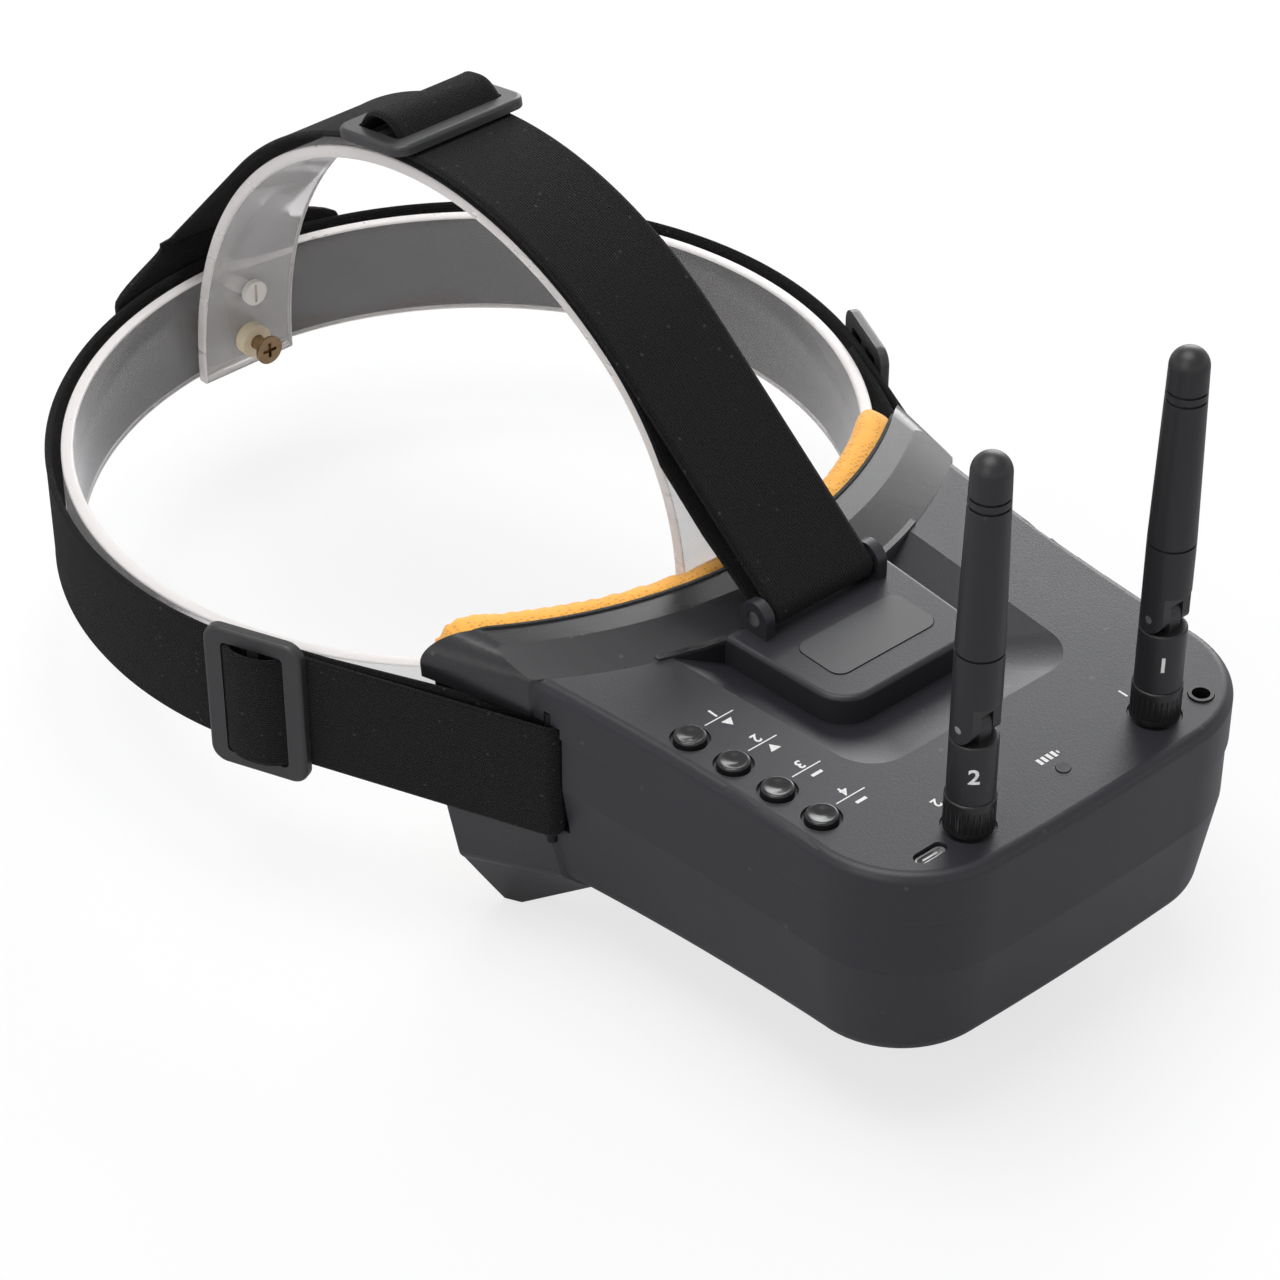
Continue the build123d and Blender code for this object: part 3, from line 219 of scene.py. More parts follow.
def mix_surfaces(tree, output, factor, first, second):
    """Mixes two shaders and hands them to an output node."""
    sockets = {0: factor, 1: first.outputs[0], 2: second.outputs[0]}
    mix = shader(tree, "ShaderNodeMixShader", sockets)
    shader(tree, output, {"Surface": mix.outputs[0]})


def add_world():
    world = bpy.data.worlds.new("studio")
    bpy.context.scene.world = world
    world.use_nodes = True
    tree = world.node_tree
    tree.nodes.clear()
    dim = shader(tree, "ShaderNodeBackground", {"Color": (0.86, 0.87, 0.9, 1), "Strength": 0.5})
    bright = shader(tree, "ShaderNodeBackground", {"Color": WHITE, "Strength": 1.0})
    mix_surfaces(tree, "ShaderNodeOutputWorld", background_rays(tree, horizon(tree)), dim, bright)


def add_floor():
    mesh = bpy.data.meshes.new("floor")
    corners = [(x * FLOOR_HALF, y * FLOOR_HALF, 0) for x, y in ((-1, -1), (1, -1), (1, 1), (-1, 1))]
    mesh.from_pydata(corners, [], [(0, 1, 2, 3)])
    floor = new_object("floor", mesh)
    material = bpy.data.materials.new("floor")
    material.use_nodes = True
    tree = material.node_tree
    tree.nodes.clear()
    in_gloss = shader(tree, "ShaderNodeLightPath").outputs["Is Glossy Ray"]
    colour = mixed_colour(tree, in_gloss, PAPER, PAPER_IN_GLOSS)
    paper = shader(tree, "ShaderNodeBsdfDiffuse", {"Color": colour})
    white = shader(tree, "ShaderNodeEmission", {"Color": WHITE, "Strength": 1.0})
    share = times(tree, background_rays(tree, 0.12), FLOOR_SHARE)
    mix_surfaces(tree, "ShaderNodeOutputMaterial", share, paper, white)
    mesh.materials.append(material)


def add_lamp(name, place, aim, size, power):
    """A soft box: a square lamp that faces a point."""
    lamp = new_object(name, bpy.data.lights.new(name, "AREA"))
    lamp.data.size = size
    lamp.data.energy = power
    lamp.location = place
    lamp.rotation_euler = (Vector(place) - Vector(aim)).to_track_quat("Z", "Y").to_euler()


add_world()
add_floor()
add_lamp("top_box", (-0.2, 0.1, 1.6), (0, 0, 0.05), 1.1, 17.0)
add_lamp("rear_box", (1.7, 1.2, 0.75), (0, 0, 0.05), 1.3, 27.0)
add_lamp("front_box", (-1.5, -0.4, 1.0), (0, 0, 0.03), 0.8, 5.0)

# %% [markdown]
# ## Shared effects as node groups
# Moulded plastic shows a fine spark-eroded grain, and its corners polish with handling. Both
# effects are wanted in many materials, so each is one node group with named inputs. A group
# gives out only masks, heights and roughness. The shader itself stays in the material.

# %% Start and close a node group


def new_group(name, **inputs):
    """An empty node group, and the outputs of its entry."""
    group = bpy.data.node_groups.new(name, "ShaderNodeTree")
    for label, value in spaced(inputs).items():
        socket = group.interface.new_socket(name=label, in_out="INPUT", socket_type="NodeSocketFloat")
        socket.default_value = value
    return group, shader(group, "NodeGroupInput").outputs


def close_group(group, **results):
    """Gives a group its outputs."""
    for label in results:
        group.interface.new_socket(name=label, in_out="OUTPUT", socket_type="NodeSocketFloat")
    shader(group, "NodeGroupOutput", results)
    return group


# %% Grain, worn edges and lint


def build_grain():
    """Spark-eroded grain in object space: a height, and a roughness that drifts a little."""
    group, entry = new_group("moulded_grain", Per_metre=2600.0, Roughness=0.4, Drift=0.08)
    drift = maths(group, "SUBTRACT", noise(group, 55.0, 2.0), 0.5)
    drift = times(group, drift, entry["Drift"])
    return close_group(group, Height=noise(group, entry["Per metre"], 3.0, 0.6),
                       Roughness=maths(group, "ADD", drift, entry["Roughness"]))


def build_edge():
    """Finds outer corners: the normal of a softened surface differs there from the real one."""
    group, entry = new_group("handled_edge", Radius=0.0006)
    soft = shader(group, "ShaderNodeBevel", {"Radius": entry["Radius"]}, samples=4)
    real = shader(group, "ShaderNodeNewGeometry")
    normals = {0: soft.outputs["Normal"], 1: real.outputs["Normal"]}
    dot = shader(group, "ShaderNodeVectorMath", normals, operation="DOT_PRODUCT")
    bend = maths(group, "SUBTRACT", 1.0, dot.outputs["Value"])
    bend = spread(group, bend, 0.03, 0.25, 0.0, 1.0)
    patchy = spread(group, noise(group, 420.0, 3.0), 0.35, 0.7, 0.25, 1.0)
    return close_group(group, Mask=times(group, bend, patchy))


def build_lint():
    """Sparse pale specks, as dust and fibre ends make on black cloth and plastic."""
    group, entry = new_group("lint", Per_metre=900.0, Share=0.06)
    spots = cells(group, entry["Per metre"])
    speck = spread(group, spots["Distance"], 0.12, 0.3, 1.0, 0.0)
    draw = shader(group, "ShaderNodeSeparateColor", {"Color": spots["Color"]}).outputs["Red"]
    chosen = maths(group, "LESS_THAN", draw, entry["Share"])
    return close_group(group, Mask=times(group, speck, chosen))


GRAIN = build_grain()
EDGE = build_edge()
LINT = build_lint()

# %% [markdown]
# ## Knit and mesh cloth
# Elastic webbing is knitted in ribs that run along the strap, with small loops across them.
# The strap meshes carry a map named "cloth" in millimetres along and across, so a rib
# stays one size however the strap bends. The pad's cover is a spacer mesh: small round
# holes in a staggered grid, which works in object space because the pad has no map.

# %% Knitted webbing


def build_knit():
    """Ribs along the strap and loops across it, from the cloth map in millimetres."""
    group, entry = new_group("elastic_knit", Rib=0.62, Loop=0.5)
    cloth = shader(group, "ShaderNodeUVMap", uv_map="cloth").outputs["UV"]
    parts = shader(group, "ShaderNodeSeparateXYZ", {"Vector": cloth}).outputs
    wander = maths(group, "SUBTRACT", noise(group, 1.4, 3.0, 0.65, cloth), 0.5)
    wander = times(group, wander, 0.9)

    def turns(axis, pitch):
        count = maths(group, "DIVIDE", maths(group, "ADD", parts[axis], wander), entry[pitch])
        return times(group, count, 2 * math.pi)

    rib = turns("Y", "Rib")
    stagger = maths(group, "ADD", turns("X", "Loop"), times(group, rib, 0.5))
    wave = times(group, maths(group, "SINE", rib), 0.45)
    bead = times(group, maths(group, "SINE", stagger), 0.55)
    fuzz = times(group, noise(group, 3.1, 4.0, 0.75, cloth), 1.6)
    height = maths(group, "ADD", maths(group, "ADD", wave, bead), fuzz)
    # Painted highlight: the raised knit is painted paler and the low parts darker, as light and shade would fall
    # on them.
    return close_group(group, Height=height, Thread=spread(group, height, 0.2, 1.5, 0.0, 1.0))


def build_spacer_mesh():
    """Round holes of a spacer mesh, with threads between them, in object space."""
    group, entry = new_group("spacer_mesh", Per_metre=900.0)
    near = cells(group, entry["Per metre"], 0.35)["Distance"]
    hole_and_shade = spread(group, near, 0.2, 0.38, 1.0, 0.0)
    fuzz = times(group, noise(group, 2400.0, 2.0), 0.5)
    return close_group(group, Height=maths(group, "SUBTRACT", fuzz, hole_and_shade), Hole=hole_and_shade)


KNIT = build_knit()
SPACER = build_spacer_mesh()

# %% [markdown]
# ## Materials
# Each finish has its own short function. Numbers that are the same all over a surface are
# set on the shader's own sockets. Only what changes over the surface comes through nodes.

# %% Start a material
FINISHES = {}


def new_material(name, **sockets):
    """A material with a Principled shader whose sockets take the given values.

    FINISHES keeps it under its name, and the CAD nodes whose slot has that name wear it.
    """
    material = bpy.data.materials.new(name)
    material.use_nodes = True
    tree = material.node_tree
    skin = tree.nodes["Principled BSDF"]
    feed(tree, skin, spaced(sockets))
    FINISHES[name] = material
    return material, tree, skin


def placed(tree, group, **values):
    """The outputs of a node group, with its inputs set."""
    return shader(tree, "ShaderNodeGroup", spaced(values), node_tree=group).outputs


def bump(tree, skin, height, distance):
    made = shader(tree, "ShaderNodeBump", {"Height": height, "Distance": distance})
    feed(tree, skin, {"Normal": made.outputs["Normal"]})


def grey(level, tint=1.0):
    return (level, level, level * tint, 1.0)


# %% Moulded plastics


def moulding(name, colour, edge_colour, roughness, grain, edge=0.0006, **sockets):
    """Grained plastic that is a little paler and smoother where hands polish its corners."""
    material, tree, skin = new_material(name, **sockets)
    fine = placed(tree, GRAIN, Roughness=roughness)
    corner = placed(tree, EDGE, Radius=edge)["Mask"]
    dust = placed(tree, LINT, Per_metre=420.0, Share=0.012)["Mask"]
    shade = mixed_colour(tree, times(tree, corner, 0.55), colour, edge_colour)
    shade = mixed_colour(tree, times(tree, dust, 0.08), shade, grey(0.35))
    polish = times(tree, corner, 0.12)
    rough = maths(tree, "SUBTRACT", fine["Roughness"], polish)
    feed(tree, skin, {"Base Color": shade, "Roughness": rough})
    bump(tree, skin, fine["Height"], grain)
    return material


moulding("case_plastic", grey(0.021, 1.2), grey(0.05, 1.08), 0.4, 0.00004, Specular_IOR_Level=0.42)
moulding("face_frame_plastic", grey(0.014, 1.1), grey(0.05, 1.05), 0.27, 0.000015,
         Specular_IOR_Level=0.7)
moulding("slider_plastic", grey(0.03, 1.03), grey(0.1, 1.03), 0.38, 0.00004)
BUTTON = moulding("button_plastic", grey(0.014, 1.05), grey(0.06, 1.05), 0.2, 0.00001, edge=0.0003)
moulding("antenna_rubber", grey(0.013, 1.1), grey(0.035, 1.08), 0.42, 0.00002)
moulding("antenna_nut_plastic", grey(0.01, 1.05), grey(0.07, 1.05), 0.28, 0.00001, edge=0.0002)
moulding("inner_plastic", grey(0.012), grey(0.02), 0.6, 0.00002)
moulding("black_plastic", grey(0.015), grey(0.04), 0.35, 0.00001, edge=0.0003)
moulding("label", grey(0.04, 1.06), grey(0.1, 1.03), 0.42, 0.000008, edge=0.0002)
moulding("cream_plastic", (0.72, 0.62, 0.44, 1), (0.8, 0.72, 0.56, 1), 0.45, 0.00002)
moulding("white_plastic", (0.78, 0.75, 0.7, 1), (0.85, 0.83, 0.8, 1), 0.35, 0.00001)

# %% [markdown]
# ## Clear plastic
# Cut PVC strip looks clear through its faces and milky along its sawn edges, where light
# that ran inside it comes out. The faces transmit most light and scatter a little, which
# turns the black strap behind them grey. The edges scatter most of it.

# %% Clear faces and milky edges


def clear_plastic(name, transmission, colour, roughness, scratch, dust=0.0):
    """Plastic that transmits light, with faint scratches and dust that shows at a low angle."""
    material, tree, skin = new_material(
        name, Base_Color=colour, Transmission_Weight=transmission, IOR=1.45, Specular_IOR_Level=0.5,
        Sheen_Weight=dust, Sheen_Roughness=0.3)
    streak = shader(tree, "ShaderNodeMapping", {"Vector": here(tree), "Scale": (60.0, 60.0, 260.0)})
    marks = noise(tree, 1.0, 4.0, place=streak.outputs["Vector"])
    rough = spread(tree, marks, 0.3, 0.75, roughness, roughness + 0.12)
    feed(tree, skin, {"Roughness": rough})
    bump(tree, skin, marks, scratch)
    return material


CLEAR = clear_plastic("clear_plastic", 0.92, (0.98, 0.975, 0.975, 1), 0.04, 0.00001, dust=0.45)
# Painted light: the arch wears a milkier and whiter copy of the clear plastic, which paints in a brightness that
# comes from light; the ring and the arch are cut from the same sheet.
BRIGHTENED_CLEAR = clear_plastic("clear_plastic_worn", 0.78, (0.98, 0.965, 0.96, 1), 0.05, 0.00001, dust=0.6)
MILKY = clear_plastic("clear_plastic_edge", 0.35, (0.95, 0.91, 0.89, 1), 0.25, 0.000004)
clear_plastic("lens_glass", 0.96, (0.98, 0.99, 1.0, 1), 0.01, 0.0)

# %% Cloth


def webbing_material():
    """Black elastic: dark yarn with a painted highlight, paler and browner on the raised knit where it would catch
    light, and grey lint.
    """
    material, tree, skin = new_material("strap_webbing", Roughness=0.85, Sheen_Weight=0.06,
                                        Sheen_Roughness=0.45, Specular_IOR_Level=0.12)
    knit = placed(tree, KNIT)
    dust = placed(tree, LINT, Per_metre=620.0, Share=0.07)["Mask"]
    # Painted highlight and shade: the yarn is paler on the raised knit and darker between.
    yarn = mixed_colour(tree, knit["Thread"], (0.0012, 0.0011, 0.0012, 1), (0.0125, 0.0105, 0.0112, 1))
    shade = mixed_colour(tree, times(tree, dust, 0.4), yarn, grey(0.12))
    feed(tree, skin, {"Base Color": shade})
    bump(tree, skin, knit["Height"], 0.00022)
    return material


def cover_material():
    """Orange spacer mesh over foam: warm yellow threads, with painted shade in the holes."""
    material, tree, skin = new_material("foam_cover_fabric", Roughness=0.8, Sheen_Weight=0.25,
                                        Sheen_Roughness=0.5, Specular_IOR_Level=0.25)
    weave = placed(tree, SPACER)
    thread = mixed_colour(tree, noise(tree, 90.0, 3.0), (0.9, 0.4, 0.06, 1), (1.0, 0.52, 0.11, 1))
    # Painted shade: the holes are painted a darker orange, as shade falls into them.
    hole_and_shade = times(tree, weave["Hole"], 0.4)
    feed(tree, skin, {"Base Color": mixed_colour(tree, hole_and_shade, thread, (0.62, 0.22, 0.02, 1))})
    bump(tree, skin, weave["Height"], 0.00015)
    return material


WEBBING = webbing_material()
COVER = cover_material()

# %% [markdown]
# ## Metal, foam, boards and print
# Small parts still need their own finish, because light catches them first: brass on the rear
# screw, plated steel pins, green boards behind the lens, and thick white print. They differ
# only in their texture and two colours, so one function makes them all, and bare foam too.

# %% Two colours mixed by a texture


def two_tone(name, texture, first, second, relief, band=None, polish=None, **sockets):
    """Mixes two colours by a texture, which also gives the relief and, if asked, the roughness.

    The texture is a function that adds itself to a tree. The band is the part of its range
    that mixes the colours, and polish is the range of roughness that follows it.
    """
    material, tree, skin = new_material(name, **sockets)
    value = texture(tree)
    factor = spread(tree, value, *band, 0.0, 1.0) if band else value
    feed(tree, skin, {"Base Color": mixed_colour(tree, factor, first, second)})
    if polish:
        feed(tree, skin, {"Roughness": spread(tree, value, 0.3, 0.7, *polish)})
    bump(tree, skin, value, relief)
    return material


def metal(name, colour, dull, roughness):
    """Plated or turned metal: tarnish drifts over it and dulls it in patches."""
    return two_tone(name, lambda tree: noise(tree, 700.0, 5.0, 0.65), colour, dull, 0.00001,
                    polish=(roughness, roughness + 0.2), Metallic=1.0)


def speckled(name, colour, other, per_metre, roughness, **sockets):
    """Two colours mixed by noise: solder mask, shrink wrap, film or print."""
    return two_tone(name, lambda tree: noise(tree, per_metre, 4.0), colour, other, 0.00001,
                    band=(0.4, 0.6), Roughness=roughness, **sockets)


metal("brass", (0.52, 0.37, 0.21, 1), (0.3, 0.2, 0.11, 1), 0.28)
metal("steel", (0.62, 0.62, 0.63, 1), (0.45, 0.44, 0.43, 1), 0.25)
DARK_STEEL = metal("blackened_steel", (0.05, 0.05, 0.053, 1), (0.02, 0.02, 0.021, 1), 0.4)
two_tone("foam_edge", lambda tree: noise(tree, 1600.0, 4.0, 0.7), grey(0.004), grey(0.05), 0.0003,
         Roughness=0.95, Sheen_Weight=0.4, Specular_IOR_Level=0.1)
two_tone("foam", lambda tree: cells(tree, 1500.0)["Distance"], (0.75, 0.33, 0.06, 1),
         (0.35, 0.12, 0.02, 1), 0.0002, Roughness=0.9, Specular_IOR_Level=0.15)
speckled("board_green", (0.01, 0.1, 0.035, 1), (0.015, 0.16, 0.06, 1), 900.0, 0.35)
speckled("screen", (0.012, 0.013, 0.018, 1), (0.016, 0.017, 0.022, 1), 40.0, 0.12, Coat_Weight=0.6)
speckled("ribbon", (0.5, 0.24, 0.05, 1), (0.62, 0.33, 0.08, 1), 300.0, 0.4)
speckled("battery_wrap", (0.16, 0.22, 0.3, 1), (0.2, 0.27, 0.36, 1), 120.0, 0.3)
LIGHT = speckled("unlit_light", (0.05, 0.05, 0.055, 1), (0.07, 0.07, 0.075, 1), 300.0, 0.18,
                 Coat_Weight=0.5)
PRINT = speckled("printed_mark", (0.78, 0.78, 0.76, 1), (0.6, 0.6, 0.59, 1), 4000.0, 0.55)

# %% Spread the nodes, so that each tree can be read in the editor
trees = [one.node_tree for one in (*bpy.data.materials, *bpy.data.worlds) if one.node_tree]
for tree in trees + list(bpy.data.node_groups):
    for step, one in enumerate(tree.nodes):
        one.location = (220 * step, -120 * (step % 3))

# %% Dress the CAD nodes
SHARP_ANGLE = math.radians(32)


def modify(piece, kind, **settings):
    """Adds one modifier, sets it and applies it."""
    made = piece.modifiers.new(kind, kind)
    for name, value in settings.items():
        setattr(made, name, value)
    bpy.context.view_layer.objects.active = piece
    piece.select_set(True)
    bpy.ops.object.modifier_apply(modifier=made.name)
    piece.select_set(False)


def smooth_shading(mesh):
    """Smooth shading that breaks at real corners."""
    mesh.polygons.foreach_set("use_smooth", [True] * len(mesh.polygons))
    mesh.set_sharp_from_angle(angle=SHARP_ANGLE)


def dress(node, material):
    """Gives a CAD node its finish and its shading."""
    mesh = nodes[node].data
    mesh.materials.clear()
    mesh.materials.append(material)
    smooth_shading(mesh)


for part in frame["record"]["subparts"]:
    dress(part["node"], FINISHES[part["material_slot"]])
dress("status_light", LIGHT)
dress("strap_posts", DARK_STEEL)
# The large faces set the shading here, so that narrow rounds beside them stay even.
for node in ("top_shell", "bottom_shell", "face_frame"):
    modify(nodes[node], "WEIGHTED_NORMAL", keep_sharp=True, weight=80)

# %% [markdown]
# ## Straps
# A strap is a flat band swept along a line. The line lies in one plane: level for the side
# straps, upright for the crown strap. Runs are straight or round, because elastic under
# tension lies that way, and each is tangent to the next. The band's section is a little
# thicker at its two ribbed edges, as knitted elastic is.

# %% Lines of points in a plane


def on_circle(centre, radius, degrees_):
    turn = math.radians(degrees_)
    return (centre[0] + radius * math.cos(turn), centre[1] + radius * math.sin(turn))


def arc(centre, radius, start, end, step=0.0022):
    """Points along an arc between two angles in degrees, about one step apart."""
    count = max(2, round(abs(math.radians(end - start)) * radius / step))
    return [on_circle(centre, radius, start + (end - start) * i / count) for i in range(count + 1)]


def run(first, last, step=0.003):
    """Points along a straight run."""
    count = max(1, round(math.dist(first, last) / step))
    return [tuple(a + (b - a) * i / count for a, b in zip(first, last)) for i in range(count + 1)]


def joined(*pieces):
    """One line from several, without the points that two of them share."""
    line = []
    for piece in pieces:
        for point in piece:
            if not line or math.dist(point, line[-1]) > 0.0002:
                line.append(point)
    return line


# %% Sweep a section along a line
WIDE = 29 * MM
THICK = 1.5 * MM
FLAT_SHARE = 0.92
ACROSS = 30
TUCK = 0.55 * MM
RIB_WIDE = 0.5 * MM
RIBS = ((0.9 * MM, 1.0), (2.3 * MM, 0.6))


def band_section(width, rib=0.1 * MM):
    """Half of a strap's section: (across, half height), with two ribs near each edge.

    RIBS gives how far each is from the edge, and its share of the height of a rib.
    """
    rows = []
    for i in range(ACROSS + 1):
        u = -1 + 2 * i / ACROSS
        edge = (1 - abs(u)) * width / 2
        ribs = rib * sum(share * math.exp(-((edge - place) / RIB_WIDE) ** 2) for place, share in RIBS)
        tuck = min(1.0, edge / TUCK)
        high = THICK * FLAT_SHARE / 2 + ribs
        rows.append((u * width / 2, high * math.sqrt(max(0.12, tuck * (2 - tuck)))))
    return rows


def rings_along(shape, line, across, section, closed=False):
    """A ring of vertices at each point of a 3-D line, with the distance along the line."""
    points = [Vector(p) for p in line]
    last = len(points) - 1
    rings = []
    travelled = 0.0
    for i, point in enumerate(points):
        before = points[i - 1] if closed or i else point
        after = points[0 if i == last else i + 1] if closed or i < last else point
        if i:
            travelled += (point - points[i - 1]).length
        out = (after - before).normalized().cross(across).normalized()
        rings.append(([shape.verts.new(point + across * u + out * h) for u, h in section], travelled))
    return rings


def swept_band(name, line, across, half):
    """A closed band of webbing along a line, from the upper half of its section."""
    shape = bmesh.new()
    cloth = shape.loops.layers.uv.new("cloth")
    section = half + [(u, -high) for u, high in half[::-1]]
    size = len(section)
    rings = rings_along(shape, line, across, section)
    for (first, s0), (second, s1) in zip(rings, rings[1:]):
        for i in range(size):
            j = (i + 1) % size
            face = shape.faces.new((first[i], first[j], second[j], second[i]))
            for corner, (s, k) in zip(face.loops, ((s0, i), (s0, j), (s1, j), (s1, i))):
                corner[cloth].uv = (s / MM, section[k][0] / MM)
            face.smooth = True
    for ring, flip in ((rings[0][0], True), (rings[-1][0], False)):
        for i in range(len(half) - 1):
            four = (ring[i], ring[i + 1], ring[size - 2 - i], ring[size - 1 - i])
            shape.faces.new(four[::-1] if flip else four)
    return new_object(name, close_shape(shape, name, WEBBING))


# %% Where the straps run
GAP = 0.3 * MM
FIT = 0.15 * MM
POST_RADIUS = 1.2 * MM
RETURN_LIFT = GAP + THICK / 2
STRAP_LIFT = RETURN_LIFT + GAP + THICK
UP = Vector((0, 0, 1))
SIDEWAYS = Vector((1, 0, 0))

ring_low, ring_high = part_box("clear_ring")
RING_CENTRE = (0.0, (ring_low.y + ring_high.y) / 2)
RING_RADIUS = (ring_high.x - ring_low.x) / 2
STRAP_LEVEL = (ring_low.z + ring_high.z) / 2
post_low, post_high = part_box("strap_posts")
POST = (post_high.x - POST_RADIUS, (post_low.y + post_high.y) / 2)
joints = {joint["name"]: joint for joint in frame["joints"]}
CROWN_CENTRE = tuple(joints["adjust_crown_strap"]["pos_m"][1:])
arch_low, arch_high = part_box("clear_arch")
ARCH_RADIUS = arch_high.z - CROWN_CENTRE[1]
bar_low, bar_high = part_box("anchor_bar")
BAR = ((bar_low.y + bar_high.y) / 2, (bar_low.z + bar_high.z) / 2)
BAR_RADIUS = (bar_high.z - bar_low.z) / 2
print("ring radius", round(RING_RADIUS, 4), "arch radius", round(ARCH_RADIUS, 4))


def outer_tangent(small_centre, small, big_centre, big, side):
    """Angle, seen from both centres, at which a line touches two circles on one side."""
    away = math.dist(small_centre, big_centre)
    line = math.degrees(math.atan2(big_centre[1] - small_centre[1], big_centre[0] - small_centre[0]))
    open_ = math.degrees(math.acos((small - big) / away))
    return line + side * open_


# %% Side straps
WRAP_RADIUS = POST_RADIUS + FIT + THICK / 2
SLIDER_AT = 56.5 * MM
SLIDER_LONG = 24 * MM
SIDES = (("right", -1), ("left", 1))


def mirrored(line, side):
    return [(side * x, y) for x, y in line]


def level_line(line):
    return [(x, y, STRAP_LEVEL) for x, y in line]


SIDE_ANGLE = outer_tangent(POST, WRAP_RADIUS, RING_CENTRE, RING_RADIUS + STRAP_LIFT, -1)
SIDE_NORMAL = on_circle((0, 0), 1.0, SIDE_ANGLE)
SIDE_ALONG = (-SIDE_NORMAL[1], SIDE_NORMAL[0])
SIDE_START = on_circle(POST, WRAP_RADIUS, SIDE_ANGLE)
SECTION = band_section(WIDE)
print("side strap leaves its post at", round(SIDE_ANGLE, 2), "degrees")


def beside_strap(along, out):
    """A point on the left side strap: distance from the post, and distance outwards."""
    return tuple(SIDE_START[i] + SIDE_ALONG[i] * along + SIDE_NORMAL[i] * out for i in (0, 1))


def build_side_strap(name, side):
    touch = (SIDE_ANGLE + 180) % 360 - 180
    wrap = arc(POST, WRAP_RADIUS, SIDE_ANGLE - 176, SIDE_ANGLE, 0.0006)
    straight = run(SIDE_START, on_circle(RING_CENTRE, RING_RADIUS + STRAP_LIFT, touch))
    round_ring = arc(RING_CENTRE, RING_RADIUS + STRAP_LIFT, touch, 89.9)
    line = mirrored(joined(wrap, straight, round_ring), side)
    strap = swept_band("webbing_" + name, level_line(line), UP * -side, SECTION)
    fit(strap, "goggles", "strap_webbing", "side_strap_" + name)


def build_side_return(name, side):
    """The inner layer: it lies slack between the post and the slider."""
    meet = SLIDER_AT - 4 * MM
    step = THICK + GAP
    reach = SLIDER_AT + SLIDER_LONG / 2
    slack = [beside_strap(0.1 * MM, -2 * WRAP_RADIUS), beside_strap(meet * 0.55, -3.1 * MM),
             beside_strap(meet, -step), beside_strap(reach, -step)]
    line = mirrored(joined(*[run(a, b) for a, b in zip(slack, slack[1:])]), side)
    inner = swept_band("inner_webbing_" + name, level_line(line), UP * -side, SECTION)
    fit(inner, "goggles", "strap_webbing", "side_return_" + name)
    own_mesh(inner)


for name, side in SIDES:
    build_side_strap(name, side)
    build_side_return(name, side)

# %% Crown strap
CORNER_RADIUS = 60 * MM
BAR_WRAP = BAR_RADIUS + FIT + THICK / 2
CROWN_ANGLE = outer_tangent(BAR, BAR_WRAP, CROWN_CENTRE, ARCH_RADIUS + STRAP_LIFT, 1)
patch_low, patch_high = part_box("rear_patch")
SLIDER_LEAN = 10.0


def upright_line(line):
    return [(0.0, y, z) for y, z in line]


def last_touch(point, centre, radius):
    """Angle at which a line from a point behind touches the top of a circle."""
    reach = math.dist(point, centre)
    line = math.degrees(math.atan2(point[1] - centre[1], point[0] - centre[0]))
    return line + math.degrees(math.acos(radius / reach))


def build_crown_strap():
    big = ARCH_RADIUS + STRAP_LIFT
    seat = (patch_high.y - 2.6 * MM, patch_high.z - 1.0 * MM)
    leave = last_touch(seat, CROWN_CENTRE, big)
    wrap = arc(BAR, BAR_WRAP, CROWN_ANGLE + 176, CROWN_ANGLE, 0.0006)
    straight = run(on_circle(BAR, BAR_WRAP, CROWN_ANGLE), on_circle(CROWN_CENTRE, big, CROWN_ANGLE))
    over = arc(CROWN_CENTRE, big, CROWN_ANGLE, leave)
    down = run(on_circle(CROWN_CENTRE, big, leave), seat)
    line = upright_line(joined(wrap, straight, over, down))
    strap = swept_band("webbing_crown", line, SIDEWAYS * -1, SECTION)
    fit(strap, "goggles", "strap_webbing", "crown_strap")


def arch_bend():
    """Centre of the arch's front bend, and the angle where it meets the crown's arc."""
    forward = arch_low.y + CORNER_RADIUS - CROWN_CENTRE[0]
    reach = ARCH_RADIUS - CORNER_RADIUS
    rise = math.sqrt(reach ** 2 - forward ** 2)
    centre = (CROWN_CENTRE[0] + forward, CROWN_CENTRE[1] + rise)
    return centre, math.degrees(math.atan2(rise, forward))


def build_crown_return():
    bend, change = arch_bend()
    slack = (BAR[0] + 19.5 * MM, BAR[1] + 9.3 * MM)
    leave = 150.0
    start = on_circle(BAR, BAR_WRAP, CROWN_ANGLE - 182)
    on_bend = on_circle(bend, CORNER_RADIUS + RETURN_LIFT, leave)
    curve = joined(run(start, slack), run(slack, on_bend),
                   arc(bend, CORNER_RADIUS + RETURN_LIFT, leave, change),
                   arc(CROWN_CENTRE, ARCH_RADIUS + RETURN_LIFT, change, 90 - SLIDER_LEAN))
    section = band_section(WIDE - 0.6 * MM)
    inner = swept_band("inner_webbing_crown", upright_line(curve), SIDEWAYS * -1, section)
    fit(inner, "goggles", "strap_webbing", "crown_return")


build_crown_strap()
build_crown_return()

# %% [markdown]
# ## The strap where it bulges over a slider
# Inside each slider the strap comes up between the two outer bars, passes over a hidden
# middle bar and goes down again. It bulges there, and its ribbed edges show in the window.
# The hump rides with its slider, so it is a piece of its own.

# %% Humps over the sliders
HUMP_RISE = 5.5 * MM
HUMP_HALF = 7.9 * MM
HUMP_LIFT = 0.7 * MM
HUMP_STEPS = 28
SIDE_HUMP_SHARE = 0.68


